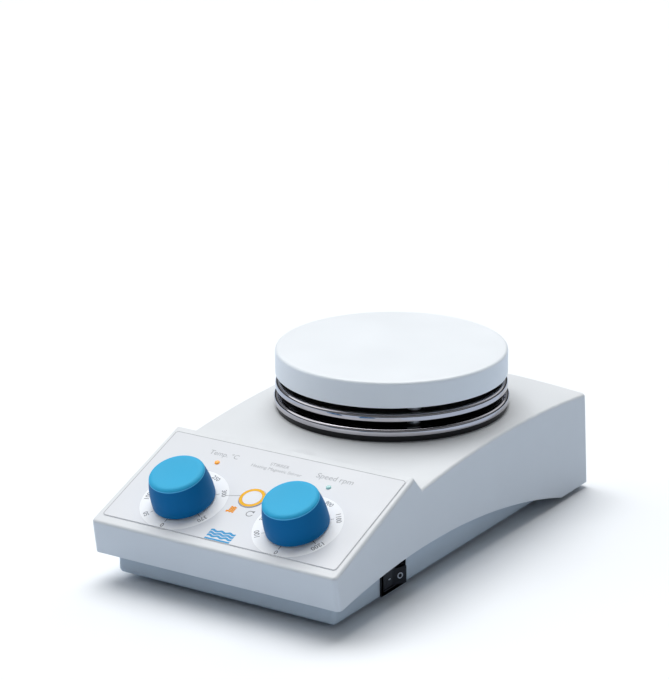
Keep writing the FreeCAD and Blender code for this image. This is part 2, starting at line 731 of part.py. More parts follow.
def around_studs(name, radius, length, z):
    """Four upright cylinders on the stud circle."""
    return [rod(f"{name}_{index}", radius, length,
                [f"{x} * stud_circle * sqrt(0.5)", f"plate_y + {y} * stud_circle * sqrt(0.5)", z])
            for index, (x, y) in enumerate(CORNERS)]


def tubes_around_studs(name, bottom, top):
    """Four spacer tubes on the stud circle between two heights."""
    walls = around_studs(name + "_wall", "spacer_radius", f"({top}) - ({bottom})", bottom)
    bores = around_studs(name + "_bore", "spacer_bore", f"({top}) - ({bottom}) + 2", f"{bottom} - 1")
    tubes = [cut(f"{name}_{index}", wall, bore) for index, (wall, bore) in enumerate(zip(walls, bores))]
    node(name, group(name + "_set", tubes))


def hot_plate():
    """Round plate with a skirt, rounded top edge and four tapped bosses underneath."""
    disc = turned("plate_disc", [
        ("0", PLATE_CEILING), ("plate_radius - plate_skirt", PLATE_CEILING),
        ("plate_radius - plate_skirt", "plate_skirt_z"), ("plate_radius", "plate_skirt_z"),
        ("plate_radius", "plate_top_z"), ("0", "plate_top_z")], ["0", "plate_y", "0"])
    disc = rounded("plate_soft", disc, sheet.plate_edge,
                   lambda edge, middle: middle.z > sheet.plate_top_z - 0.1 and edge.Length > 100)
    bosses = around_studs("plate_boss", "5", f"({PLATE_CEILING}) - plate_skirt_z + 0.5", "plate_skirt_z")
    taps = around_studs("plate_tap", "stud_hole", "stud_top_z + 0.5 - plate_skirt_z + 1",
                        "plate_skirt_z - 1")
    node("hot_plate", cut("plate_body", fuse("plate_solid", disc, *bosses), *taps))


def under_plate():
    """Heater, its clamp plate, the temperature sensor and the insulation under the plate."""
    centre = ["0", "plate_y"]
    heater_z = f"{PLATE_CEILING} - heater_thick"
    clamp_z = f"{heater_z} - clamp_thick"
    node("heater_element", tube("heater", "heater_radius", "heater_bore", "heater_thick",
                                centre + [heater_z]))
    node("heater_clamp", tube("clamp", "heater_radius - 1", "heater_bore", "clamp_thick",
                              centre + [clamp_z]))
    node("plate_sensor", rod("sensor", "sensor_radius", f"({PLATE_CEILING}) - insulation_z",
                             centre + ["insulation_z"]))
    node("insulation_disc", tube("insulation", "heater_radius - 1", "sensor_radius + 0.5",
                                 f"{clamp_z} - insulation_z", centre + ["insulation_z"]))


def heat_shield(name, top, radius):
    """Polished pan, open side down, with a rolled rim and clearance holes for the studs."""
    inner = f"({radius} - shield_sheet)"
    rim = f"({top} - shield_rim)"
    points = [("0", f"{top} - shield_sheet"), (f"{inner} - shield_bend", f"{top} - shield_sheet"),
              (inner, f"{top} - shield_sheet - shield_bend"), (inner, rim), (radius, rim),
              (radius, f"{top} - shield_bend"),
              (f"{radius} - shield_bend * 0.3", f"{top} - shield_bend * 0.3"),
              (f"{radius} - shield_bend", top), ("0", top)]
    pan = turned(name + "_pan", points, ["0", "plate_y", "0"])
    holes = around_studs(name + "_hole", "stud_hole", "6", f"{top} - 4")
    node(name, cut(name + "_body", pan, *holes))


def plate_collar():
    """Black ring that closes the gap between the crowned deck and the lower shield."""
    ring = tube("collar", "collar_radius", "collar_radius - collar_wall",
                "collar_top_z - collar_bottom_z", ["0", "plate_y", "collar_bottom_z"])
    deck = doc.addObject("Part::Sphere", "collar_deck")
    deck.Placement = Placement(Vector(0, 0, 0), ALONG_X)
    bind(deck, "Radius", "deck_radius + 0.02")
    place(deck, ["0", "plate_y", "deck_apex_z - deck_radius"])
    node("plate_collar", cut("collar_body", ring, deck))


def studs():
    """Studs that hang the plate and shields on the deck, with nuts under it."""
    node("plate_studs", group("plate_studs_set",
                              around_studs("stud", "stud_radius", "stud_top_z - stud_bottom_z",
                                           "stud_bottom_z")))
    bores = around_studs("stud_nut_bore", "stud_radius + 0.02", "10", "pad_bottom_z - 6")
    nuts = []
    for index, ((x, y), bore) in enumerate(zip(CORNERS, bores)):
        hexagon = doc.addObject("Part::Prism", f"stud_nut_hex_{index}")
        hexagon.Polygon = 6
        bind(hexagon, "Circumradius", "stud_nut_radius")
        bind(hexagon, "Height", "4")
        place(hexagon, [f"{x} * stud_circle * sqrt(0.5)", f"plate_y + {y} * stud_circle * sqrt(0.5)",
                        "pad_bottom_z - 4"])
        nuts.append(cut(f"stud_nut_{index}", hexagon, bore))
    node("stud_nuts", group("stud_nuts_set", nuts))
    tubes_around_studs("upper_spacers", "upper_shield_z", "plate_skirt_z")
    tubes_around_studs("middle_spacers", "lower_shield_z", "upper_shield_z - shield_sheet")
    tubes_around_studs("lower_spacers", "pad_top_z", "lower_shield_z - shield_sheet")


# ---------------------------------------------------------------- motor

def motor_fixed():
    """Bracket on rubber mounts, motor can, wound stator and two bearings."""
    mounts = [rod(f"mount_{index}", "mount_radius",
                  f"motor_bottom_z - bracket_thick - ({TRAY_FLOOR})",
                  [f"{x} * (bracket_size / 2 - 6)", f"plate_y + {y} * (bracket_size / 2 - 6)", TRAY_FLOOR])
              for index, (x, y) in enumerate(CORNERS)]
    node("motor_mounts", group("motor_mounts_set", mounts))
    plate = block("bracket_plate", ["bracket_size", "bracket_size", "bracket_thick"],
                  ["0", "plate_y", "motor_bottom_z - bracket_thick / 2"])
    relief = rod("bracket_relief", "bearing_radius - 2", "10", ["0", "plate_y", "motor_bottom_z - 5"])
    node("motor_bracket", cut("bracket_body", plate, relief))
    can = rod("can_wall", "motor_radius", "motor_height", ["0", "plate_y", "motor_bottom_z"])
    room = rod("can_room", "motor_radius - motor_wall", "motor_height - 2 * motor_wall",
               ["0", "plate_y", "motor_bottom_z + motor_wall"])
    seat = rod("can_seat", "bearing_radius + 0.03", "motor_height + 2",
               ["0", "plate_y", "motor_bottom_z - 1"])
    node("motor_can", cut("can_body", can, room, seat))
    stator_z = "motor_bottom_z + (motor_height - stator_height) / 2"
    node("motor_stator", tube("stator", "motor_radius - motor_wall - 0.05", "stator_bore",
                              "stator_height", ["0", "plate_y", stator_z]))
    seats = ("motor_bottom_z", "motor_bottom_z + motor_height - bearing_height")
    bearings = [tube(f"bearing_{index}", "bearing_radius", "motor_shaft_radius + 0.02",
                     "bearing_height", ["0", "plate_y", z])
                for index, z in enumerate(seats)]
    node("motor_bearings", group("motor_bearings_set", bearings))


def motor_turning():
    """Rotor core, shaft, cooling fan, magnet carrier and drive magnets."""
    stator_z = "motor_bottom_z + (motor_height - stator_height) / 2"
    node("rotor_shaft", rod("rotor_shaft_rod", "motor_shaft_radius",
                            "carrier_z + carrier_thick - motor_bottom_z - 1",
                            ["0", "plate_y", "motor_bottom_z + 1"]))
    node("rotor_core", tube("core", "core_radius", "motor_shaft_radius + 0.02", "stator_height",
                            ["0", "plate_y", stator_z]))
    hub = rod("fan_hub", "fan_hub_radius", "fan_height", ["0", "plate_y", "fan_z"])
    blades = []
    for index in range(7):
        blade = block(f"fan_blade_{index}", ["fan_radius - fan_hub_radius + 1", "1.2", "fan_height - 1"],
                      ["(fan_radius + fan_hub_radius - 1) / 2", "0", "fan_z + fan_height / 2"])
        turn = group(f"fan_blade_turn_{index}", [blade])
        turn.Placement = Placement(Vector(0, sheet.plate_y, 0), Rotation(Vector(0, 0, 1), 360 / 7 * index))
        blades.append(turn)
    fan_bore = rod("fan_bore", "motor_shaft_radius + 0.02", "20", ["0", "plate_y", "fan_z - 5"])
    node("cooling_fan", cut("fan_body", fuse("fan_solid", hub, *blades), fan_bore))
    node("magnet_carrier", tube("carrier", "carrier_radius", "motor_shaft_radius + 0.02",
                                "carrier_thick", ["0", "plate_y", "carrier_z"]))
    magnets = [block(f"magnet_{side + 1}", ["magnet_length", "magnet_width", "magnet_height"],
                     [f"{side} * (carrier_radius - magnet_length / 2 - 5)", "plate_y",
                      "carrier_z + carrier_thick + magnet_height / 2"]) for side in (-1, 1)]
    node("drive_magnets", group("drive_magnets_set", magnets))


# ---------------------------------------------------------------- power board

def power_board():
    """Board on the tray's pegs with its screws and the parts soldered to it."""
    half_x = "(power_board_width / 2 - 5)"
    half_y = "(power_board_depth / 2 - 5)"
    board = block("power_board_plate", ["power_board_width", "power_board_depth", "board_thick"],
                  ["power_board_x", "power_board_y", "power_board_z + board_thick / 2"])
    spots = [[f"power_board_x + {x} * {half_x}", f"power_board_y + {y} * {half_y}"] for x, y in CORNERS]
    holes = [rod(f"board_hole_{index}", "1.3", "10", spot + ["power_board_z - 4"])
             for index, spot in enumerate(spots)]
    node("power_board", cut("power_board_body", board, *holes))
    top = "power_board_z + board_thick"
    screws = [fuse(f"board_screw_{index}", rod(f"board_screw_head_{index}", "2.4", "1.5", spot + [top]),
                   rod(f"board_screw_shank_{index}", "1.2", "5.5", spot + [f"{top} - 5"]))
              for index, spot in enumerate(spots)]
    node("board_screws", group("board_screws_set", screws))
    capacitors = [rod(f"capacitor_{index}", "capacitor_radius", "capacitor_height",
                      [f"power_board_x - 32 + {index} * 18", "power_board_y - 24", top])
                  for index in range(3)]
    node("capacitors", group("capacitors_set", capacitors))


def transformer():
    """Laminated core with two windows and the winding around its middle leg."""
    top = "power_board_z + board_thick"
    middle_z = f"{top} + core_height / 2"
    spot = ["transformer_x", "transformer_y"]
    core = block("core_block", ["core_width", "core_depth", "core_height"], spot + [middle_z])
    windows = [block(f"core_window_{side + 1}", ["window_width", "core_depth + 2", "window_height"],
                     [f"transformer_x + {side} * (leg_width + window_width) / 2", "transformer_y",
                      middle_z])
               for side in (-1, 1)]
    node("transformer_core", cut("core_body", core, *windows))
    winding = block("winding_block", ["leg_width + 2 * window_width - 0.6", "core_depth + 12",
                                      "window_height - 0.4"], spot + [middle_z])
    leg = block("winding_hole", ["leg_width + 0.2", "core_depth + 0.2", "core_height"], spot + [middle_z])
    node("transformer_winding", cut("winding_body", winding, leg))


def heat_sink():
    """Finned heat sink with the power semiconductor on its flat face."""
    top = "power_board_z + board_thick"
    plate = block("sink_plate", ["sink_width", "3", "sink_height"],
                  ["sink_x", "sink_y", f"{top} + sink_height / 2"])
    fins = [block(f"sink_fin_{index}", ["1.6", "fin_length + 0.5", "sink_height"],
                  [f"sink_x + {index - 2.5} * (sink_width - 1.6) / 5",
                   "sink_y + 1.5 + fin_length / 2 - 0.25", f"{top} + sink_height / 2"])
            for index in range(6)]
    node("heat_sink", fuse("heat_sink_body", plate, *fins))
    node("power_triac", block("triac_block", ["10", "4.5", "15"],
                              ["sink_x", "sink_y - 1.5 - 2.25", f"{top} + 3 + 7.5"]))


# ---------------------------------------------------------------- rear fittings

def rear_fittings():
    """Mains inlet with its pins and screws, fuse holder and probe socket, in the rear recess."""
    face = "-recess_depth"
    flange = block("inlet_flange", ["inlet_flange_width", "2", "inlet_flange_height"],
                   ["inlet_x", f"{face} + 1", "0"])
    can = block("inlet_can", ["inlet_body_width", "inlet_depth + 0.5", "inlet_body_height"],
                ["inlet_x", f"{face} + 0.25 - inlet_depth / 2", "0"])
    cavity = block("inlet_cavity", ["inlet_cavity_width", "inlet_cavity_depth + 10", "inlet_cavity_height"],
                   ["inlet_x", f"{face} + 2 - inlet_cavity_depth / 2 + 5", "0"])
    screw_holes = [rod(f"flange_hole_{side + 1}", "screw_radius + 0.1", "6",
                       [f"inlet_x + {side} * inlet_screw_x", f"{face} - 2", "0"], ALONG_Y)
                   for side in (-1, 1)]
    node("power_inlet", cut("inlet_body", fuse("inlet_solid", flange, can), cavity, *screw_holes), ON_REAR)
    cavity_end = f"({face} + 2 - inlet_cavity_depth)"
    pins = [block(f"inlet_pin_{index}", ["2", "inlet_cavity_depth - 3.5", "4"],
                  [f"inlet_x + {x}", f"{cavity_end} + (inlet_cavity_depth - 3.5) / 2", z])
            for index, (x, z) in enumerate(((-7, "-2"), (0, "2"), (7, "-2")))]
    node("inlet_pins", group("inlet_pins_set", pins), ON_REAR)
    screws = [fuse(f"inlet_screw_{side + 1}",
                   rod(f"inlet_screw_head_{side + 1}", "2.7", "0.5",
                       [f"inlet_x + {side} * inlet_screw_x", f"{face} + 2", "0"], ALONG_Y),
                   rod(f"inlet_screw_shank_{side + 1}", "screw_radius", "9",
                       [f"inlet_x + {side} * inlet_screw_x", f"{face} - 7", "0"], ALONG_Y))
              for side in (-1, 1)]
    node("inlet_screws", group("inlet_screws_set", screws), ON_REAR)
    collar = rod("fuse_collar", "fuse_flange_radius", "1.2", ["fuse_x", face, "0"], ALONG_Y)
    barrel = rod("fuse_barrel", "fuse_radius", "26", ["fuse_x", f"{face} - 25", "0"], ALONG_Y)
    cap = rod("fuse_cap", "fuse_radius", "1", ["fuse_x", f"{face} + 1.2", "0"], ALONG_Y)
    slot = block("fuse_slot", ["8", "2", "1.2"], ["fuse_x", f"{face} + 2.2", "0"])
    node("fuse_holder", cut("fuse_body", fuse("fuse_solid", collar, barrel, cap), slot), ON_REAR)
    ring = rod("probe_flange", "probe_flange_radius", "1.6", ["probe_x", face, "0"], ALONG_Y)
    shell = rod("probe_shell", "probe_radius", "14", ["probe_x", f"{face} - 13", "0"], ALONG_Y)
    well = rod("probe_well", "probe_cavity_radius", "20", ["probe_x", f"{face} - 8", "0"], ALONG_Y)
    node("probe_socket", cut("probe_body", fuse("probe_solid", ring, shell), well), ON_REAR)


def rod_socket():
    """Threaded bush in the rear left of the deck for a support rod."""
    bush = rod("rod_bush", "rod_bush_radius", "rod_bush_length",
               ["rod_x", "rod_y", "rod_bush_top_z - rod_bush_length"])
    thread = rod("rod_thread", "rod_thread_radius", "rod_thread_depth + 5",
                 ["rod_x", "rod_y", "rod_bush_top_z - rod_thread_depth"])
    node("rod_socket", cut("rod_socket_body", bush, thread))


upper_housing()
base_tray()
feet_and_screws()
panel_overlay()
for side, control in ((-1, "temperature"), (1, "speed")):
    knob(control + "_knob", side)
    knob_shaft(control + "_shaft", side)
    potentiometer(control + "_potentiometer", side)
bushing_nuts()
lamp("heating_lamp", -1)
lamp("motor_lamp", 1)
mode_key()
control_board()
mains_switch()
hot_plate()
under_plate()
heat_shield("upper_shield", "upper_shield_z", "upper_shield_radius")
heat_shield("lower_shield", "lower_shield_z", "lower_shield_radius")
plate_collar()
studs()
motor_fixed()
motor_turning()
power_board()
transformer()
heat_sink()
rear_fittings()
rod_socket()

# ---------------------------------------------------------------- checks and export

doc.recompute()
broken = [item.Name for item in doc.Objects if {"Invalid", "Error"} & set(item.State)]
if broken:
    raise RuntimeError("failed objects: " + ", ".join(broken))
for item in NODES:
    if item.Shape.isNull() or not item.Shape.isValid() or not item.Shape.Solids:
        raise RuntimeError("bad shape: " + item.Label)
for item in NODES:
    item.Shape.exportStep(f"parts/{item.Label}.step")
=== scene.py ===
"""Heating magnetic stirrer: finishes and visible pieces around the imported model, in metres.

+Z is up, the control panel faces -Y and the mains switch is on the +X side.
"""

import json
import math

import bmesh
import bpy
from mathutils import Matrix, Vector


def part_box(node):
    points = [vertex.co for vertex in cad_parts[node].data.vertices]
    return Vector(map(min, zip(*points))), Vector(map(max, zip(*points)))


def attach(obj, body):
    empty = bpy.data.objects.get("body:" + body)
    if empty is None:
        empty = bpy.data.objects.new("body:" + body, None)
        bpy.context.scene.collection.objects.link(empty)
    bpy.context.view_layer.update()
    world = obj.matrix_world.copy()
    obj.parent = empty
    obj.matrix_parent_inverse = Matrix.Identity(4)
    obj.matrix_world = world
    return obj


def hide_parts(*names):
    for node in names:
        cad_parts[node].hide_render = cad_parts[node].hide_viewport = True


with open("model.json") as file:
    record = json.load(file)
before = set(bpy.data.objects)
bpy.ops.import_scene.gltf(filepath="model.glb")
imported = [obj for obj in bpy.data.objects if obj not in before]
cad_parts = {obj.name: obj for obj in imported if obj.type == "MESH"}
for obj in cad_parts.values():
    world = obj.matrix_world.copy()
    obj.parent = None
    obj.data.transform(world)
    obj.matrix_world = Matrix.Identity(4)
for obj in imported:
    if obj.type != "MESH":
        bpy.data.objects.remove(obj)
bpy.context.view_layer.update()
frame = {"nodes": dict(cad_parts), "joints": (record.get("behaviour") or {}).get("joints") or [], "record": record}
MM = 0.001
HOUSING = "stirrer_body"


def wire(tree, *links):
    """Link nodes: each link is (node, output, node, input) or (socket, node, input)."""
    for *source, target, entry in links:
        socket = source[0].outputs[source[1]] if len(source) == 2 else source[0]
        tree.links.new(socket, target.inputs[entry])


# ---------------------------------------------------------------- camera, light and floor

VIEW_AZIMUTH = 33.321
VIEW_ELEVATION = 17.771
VIEW_ROLL = -0.509
VIEW_DISTANCE = 1.61236
VIEW_AIM = Vector((-0.00985, 0.0, 0.11636))
LENS = 148.31
FLOOR_COLOUR = (0.91, 0.935, 0.965, 1)
FLOOR_BOUNCE = (0.71, 0.80, 0.92, 1)


def add_camera():
    """Camera at the height and turn from which the stirrer is shown."""
    turn, lift = math.radians(VIEW_AZIMUTH), math.radians(VIEW_ELEVATION)
    back = Vector((math.sin(turn) * math.cos(lift), -math.cos(turn) * math.cos(lift), math.sin(lift)))
    right = (-back).cross(Vector((0, 0, 1))).normalized()
    up = right.cross(-back)
    roll = math.radians(VIEW_ROLL)
    across = right * math.cos(roll) + up * math.sin(roll)
    above = up * math.cos(roll) - right * math.sin(roll)
    data = bpy.data.cameras.new("camera")
    data.lens = LENS
    data.sensor_width = 36
    data.clip_start = 0.05
    camera = bpy.data.objects.new("camera", data)
    place = Matrix((across, above, back)).transposed().to_4x4()
    place.translation = VIEW_AIM + back * VIEW_DISTANCE
    camera.matrix_world = place
    bpy.context.scene.collection.objects.link(camera)
    bpy.context.scene.camera = camera


SOFT_ANGLE = math.radians(50)
KEY_LIGHTS = (("high_back_left", 2.35, (0.242, -0.242, -0.940)), ("left", 0.72, (0.695, 0.130, -0.707)),
              ("back", 0.42, (0.0, -0.707, -0.707)))
SKY_BANDS = ((0.0, 0.012), (0.20, 0.02), (0.28, 0.30), (0.62, 0.30), (0.72, 0.10))
SKY_TINT = (0.93, 0.97, 1.0)


def add_light(name, energy, direction):
    """A broad soft light that shines along `direction`."""
    data = bpy.data.lights.new(name, "SUN")
    data.energy = energy
    data.angle = SOFT_ANGLE
    light = bpy.data.objects.new(name, data)
    light.rotation_euler = Vector(direction).to_track_quat("-Z", "Y").to_euler()
    light.location = Vector((0, 0, 0.05)) - Vector(direction)
    bpy.context.scene.collection.objects.link(light)


def add_studio():
    """Dark surroundings with a soft band of light above them, over a pale seamless floor."""
    scene = bpy.context.scene
    scene.view_settings.view_transform = "Standard"
    world = bpy.data.worlds.new("studio")
    scene.world = world
    world.use_nodes = True
    tree = world.node_tree
    tree.nodes.clear()
    place = tree.nodes.new("ShaderNodeTexCoord")
    split = tree.nodes.new("ShaderNodeSeparateXYZ")
    ramp = tree.nodes.new("ShaderNodeValToRGB")
    room = tree.nodes.new("ShaderNodeBackground")
    paper = tree.nodes.new("ShaderNodeBackground")
    sight = tree.nodes.new("ShaderNodeLightPath")
    mix = tree.nodes.new("ShaderNodeMixShader")
    out = tree.nodes.new("ShaderNodeOutputWorld")
    stops = ramp.color_ramp.elements
    while len(stops) < len(SKY_BANDS):
        stops.new(0.5)
    for stop, (height, shade) in zip(stops, SKY_BANDS):
        stop.position = height
        stop.color = (*(shade * tint for tint in SKY_TINT), 1)
    paper.inputs["Color"].default_value = (1, 1, 1, 1)
    wire(tree, (place, "Generated", split, 0), (split, "Z", ramp, 0), (ramp, "Color", room, "Color"),
         (sight, "Is Camera Ray", mix, 0), (room, 0, mix, 1), (paper, 0, mix, 2),
         (mix, 0, out, "Surface"))
    for name, energy, direction in KEY_LIGHTS:
        add_light(name, energy, direction)
    add_floor()


def add_floor():
    """Pale matt floor, large enough to fade into the surroundings; it throws back cooler light."""
    mesh = bpy.data.meshes.new("floor")
    reach = 6.0
    mesh.from_pydata([(-reach, -reach, 0), (reach, -reach, 0), (reach, reach, 0), (-reach, reach, 0)],
                     [], [(0, 1, 2, 3)])
    floor = bpy.data.objects.new("floor", mesh)
    bpy.context.scene.collection.objects.link(floor)
    paper = bpy.data.materials.new("floor_paper")
    paper.use_nodes = True
    tree = paper.node_tree
    sheet = tree.nodes["Principled BSDF"]
    sheet.inputs["Base Color"].default_value = FLOOR_COLOUR
    sheet.inputs["Roughness"].default_value = 0.8
    sheet.inputs["Specular IOR Level"].default_value = 0.1
    bounce = tree.nodes.new("ShaderNodeBsdfDiffuse")
    bounce.inputs["Color"].default_value = FLOOR_BOUNCE
    sight = tree.nodes.new("ShaderNodeLightPath")
    mix = tree.nodes.new("ShaderNodeMixShader")
    wire(tree, (sight, "Is Camera Ray", mix, 0), (bounce, 0, mix, 1), (sheet, 0, mix, 2),
         (mix, 0, tree.nodes["Material Output"], "Surface"))
    mesh.materials.append(paper)


# ---------------------------------------------------------------- shader groups

def add_node(tree, kind, inputs=(), **settings):
    """A shader or geometry node with its settings and input values."""
    item = tree.nodes.new(kind)
    for key, value in settings.items():
        setattr(item, key, value)
    for key, value in dict(inputs).items():
        item.inputs[key].default_value = value
    return item


def new_group(name, inputs, outputs):
    """An empty shader group with float or vector inputs and the given outputs."""
    tree = bpy.data.node_groups.new(name, "ShaderNodeTree")
    for label, kind, value in inputs:
        socket = tree.interface.new_socket(label, in_out="INPUT", socket_type=kind)
        socket.default_value = value
    for label, kind in outputs:
        tree.interface.new_socket(label, in_out="OUTPUT", socket_type=kind)
    return tree, tree.nodes.new("NodeGroupInput"), tree.nodes.new("NodeGroupOutput")


def moulded_grain_group():
    """Fine spark-eroded grain: its height, and a broad mottle for colour and gloss."""
    tree, given, out = new_group("moulded grain", [
        ("Grain Size", "NodeSocketFloat", 0.0006), ("Mottle Size", "NodeSocketFloat", 0.05)], [
        ("Height", "NodeSocketFloat"), ("Mottle", "NodeSocketFloat")])
    place = add_node(tree, "ShaderNodeTexCoord")
    for size, detail, label in (("Grain Size", 3.0, "Height"), ("Mottle Size", 2.0, "Mottle")):
        frequency = add_node(tree, "ShaderNodeMath", {0: 1.0}, operation="DIVIDE")
        noise = add_node(tree, "ShaderNodeTexNoise", {"Detail": detail, "Roughness": 0.55})
        wire(tree, (given, size, frequency, 1), (place, "Object", noise, "Vector"),
             (frequency, 0, noise, "Scale"), (noise, "Fac", out, label))
    return tree


def turned_group():
    """Fine rings about an upright axis, as left by turning or polishing on a lathe."""
    tree, given, out = new_group("turned rings", [
        ("Centre", "NodeSocketVector", (0, 0, 0)), ("Ring Size", "NodeSocketFloat", 0.0004)], [
        ("Height", "NodeSocketFloat"), ("Streak", "NodeSocketFloat")])
    place = add_node(tree, "ShaderNodeTexCoord")
    shift = add_node(tree, "ShaderNodeVectorMath", operation="SUBTRACT")
    split = add_node(tree, "ShaderNodeSeparateXYZ")
    flat = add_node(tree, "ShaderNodeCombineXYZ")
    length = add_node(tree, "ShaderNodeVectorMath", operation="LENGTH")
    ring = add_node(tree, "ShaderNodeCombineXYZ")
    frequency = add_node(tree, "ShaderNodeMath", {0: 1.0}, operation="DIVIDE")
    noise = add_node(tree, "ShaderNodeTexNoise", {"Detail": 2.0, "Roughness": 0.6})
    broad = add_node(tree, "ShaderNodeTexNoise", {"Scale": 45.0, "Detail": 3.0})
    wire(tree, (place, "Object", shift, 0), (given, "Centre", shift, 1), (shift, 0, split, 0),
         (split, "X", flat, "X"), (split, "Y", flat, "Y"), (flat, 0, length, 0),
         (length, "Value", ring, "X"), (split, "Z", ring, "Y"), (given, "Ring Size", frequency, 1),
         (ring, 0, noise, "Vector"), (frequency, 0, noise, "Scale"), (place, "Object", broad, "Vector"),
         (noise, "Fac", out, "Height"), (broad, "Fac", out, "Streak"))
    return tree


def worn_edge_group():
    """Where an edge is rubbed: the angle between the rounded and the true surface."""
    tree, given, out = new_group("worn edges", [
        ("Width", "NodeSocketFloat", 0.0008), ("Break Up", "NodeSocketFloat", 90.0)], [
        ("Wear", "NodeSocketFloat")])
    soft = add_node(tree, "ShaderNodeBevel", samples=4)
    surface = add_node(tree, "ShaderNodeNewGeometry")
    dot = add_node(tree, "ShaderNodeVectorMath", operation="DOT_PRODUCT")
    spread = add_node(tree, "ShaderNodeMapRange", {"From Min": 0.995, "From Max": 0.90})
    place = add_node(tree, "ShaderNodeTexCoord")
    noise = add_node(tree, "ShaderNodeTexNoise", {"Detail": 4.0, "Roughness": 0.65})
    patch = add_node(tree, "ShaderNodeMapRange", {"From Min": 0.42, "From Max": 0.68})
    both = add_node(tree, "ShaderNodeMath", operation="MULTIPLY")
    wire(tree, (given, "Width", soft, "Radius"), (soft, "Normal", dot, 0),
         (surface, "True Normal", dot, 1), (dot, "Value", spread, "Value"),
         (place, "Object", noise, "Vector"), (given, "Break Up", noise, "Scale"),
         (noise, "Fac", patch, "Value"), (spread, "Result", both, 0), (patch, "Result", both, 1),
         (both, 0, out, "Wear"))
    return tree


GRAIN = moulded_grain_group()
TURNED = turned_group()
WORN = worn_edge_group()


# ---------------------------------------------------------------- materials

MATERIALS = {}


def new_material(name, **shader_values):
    """A material with a Principled shader whose plain values are set on its sockets."""
    material = MATERIALS[name] = bpy.data.materials.new(name)
    material.use_nodes = True
    shader = material.node_tree.nodes["Principled BSDF"]
    for label, value in shader_values.items():
        shader.inputs[label.replace("_", " ")].default_value = value
    return material.node_tree, shader


def place_group(tree, group, **values):
    """A copy of a shader group in a material, with its own values."""
    item = tree.nodes.new("ShaderNodeGroup")
    item.node_tree = group
    for label, value in values.items():
        item.inputs[label.replace("_", " ")].default_value = value
    return item


def mix_colours(tree, mask, low, high):
    """One colour where the mask is 0, the other where it is 1; either may be a socket."""
    mix = add_node(tree, "ShaderNodeMix", data_type="RGBA")
    tree.links.new(mask, mix.inputs["Factor"])
    for label, colour in (("A", low), ("B", high)):
        socket = [s for s in mix.inputs if s.name == label and s.type == "RGBA"][0]
        if isinstance(colour, bpy.types.NodeSocket):
            tree.links.new(colour, socket)
        else:
            socket.default_value = (*colour, 1)
    return [s for s in mix.outputs if s.type == "RGBA"][0]


def map_value(tree, source, low, high):
    """Stretch the usual spread of a noise, 0.3 to 0.7, onto low..high."""
    spread = add_node(tree, "ShaderNodeMapRange",
                      {"From Min": 0.3, "From Max": 0.7, "To Min": low, "To Max": high})
    tree.links.new(source, spread.inputs["Value"])
    return spread.outputs["Result"]


def add_bump(tree, shader, height, depth, strength=0.5):
    """Bump of the given real depth on a shader's normal."""
    bump = add_node(tree, "ShaderNodeBump", {"Strength": strength, "Distance": depth})
    wire(tree, (height, bump, "Height"), (bump, "Normal", shader, "Normal"))


def finish_surface(tree, shader, texture, colour, rough, depth, label="Mottle", strength=0.5):
    """Colour, uneven gloss between two roughnesses, and fine relief."""
    wire(tree, (colour, shader, "Base Color"),
         (map_value(tree, texture.outputs[label], *rough), shader, "Roughness"))
    add_bump(tree, shader, texture.outputs["Height"], depth, strength)


def patchy(tree, texture, low, high, label="Mottle"):
    """A colour that drifts between two shades over the surface."""
    return mix_colours(tree, map_value(tree, texture.outputs[label], 0, 1), low, high)


def moulded(name, colour, rough, grain, depth, shade=0.93, wear=0.25, **extra):
    """Moulded plastic: grain, broad mottle in colour and gloss, and lighter rubbed edges."""
    tree, shader = new_material(name, **extra)
    texture = place_group(tree, GRAIN, Grain_Size=grain, Mottle_Size=0.04)
    rubbed = place_group(tree, WORN, Width=0.0006)
    darker = tuple(c * shade for c in colour)
    lighter = tuple(min(1.0, c * (1 + wear) + 0.02 * wear) for c in colour)
    base = mix_colours(tree, rubbed.outputs["Wear"], patchy(tree, texture, darker, colour), lighter)
    finish_surface(tree, shader, texture, base, (rough - 0.05, rough + 0.06), depth)


def metal(name, colour, rough, centre=(0, 0, 0), ring=0.0005, depth=0.000006, shade=0.85):
    """Turned or rolled metal: fine rings, uneven gloss and slight tarnish."""
    tree, shader = new_material(name, Metallic=1.0)
    texture = place_group(tree, TURNED, Centre=centre, Ring_Size=ring)
    darker = tuple(c * shade for c in colour)
    finish_surface(tree, shader, texture, patchy(tree, texture, darker, colour, "Streak"),
                   (rough * 0.7, rough * 1.4), depth, "Streak")


def chrome_with_painted_shade(name, colour, painted_shade, centre, edge):
    """Polished chrome on the outside, painted near black and dull within the edge radius as painted shade under
    the plate.
    """
    tree, shader = new_material(name, Metallic=1.0)
    texture = place_group(tree, TURNED, Centre=centre, Ring_Size=0.0007)
    place = add_node(tree, "ShaderNodeTexCoord")
    offset = add_node(tree, "ShaderNodeVectorMath", {1: centre}, operation="SUBTRACT")
    flat = add_node(tree, "ShaderNodeVectorMath", {1: (1.0, 1.0, 0.0)}, operation="MULTIPLY")
    radius = add_node(tree, "ShaderNodeVectorMath", operation="LENGTH")
    wire(tree, (place, "Object", offset, 0), (offset, 0, flat, 0), (flat, 0, radius, 0))
    # painted shade: inside the edge radius the pan is dark and dull, as if it lay in shade under the plate
    unshaded = add_node(tree, "ShaderNodeMapRange", {"From Min": edge, "From Max": edge + 0.0012},
                      interpolation_type="SMOOTHSTEP")
    tree.links.new(radius.outputs["Value"], unshaded.inputs["Value"])
    darker = tuple(c * 0.86 for c in colour)
    streaks = patchy(tree, texture, darker, colour, "Streak")
    tree.links.new(mix_colours(tree, unshaded.outputs["Result"], painted_shade, streaks),
                   shader.inputs["Base Color"])
    tree.links.new(map_value(tree, unshaded.outputs["Result"], 0.55, 0.09), shader.inputs["Roughness"])
    add_bump(tree, shader, texture.outputs["Height"], 0.0000015)


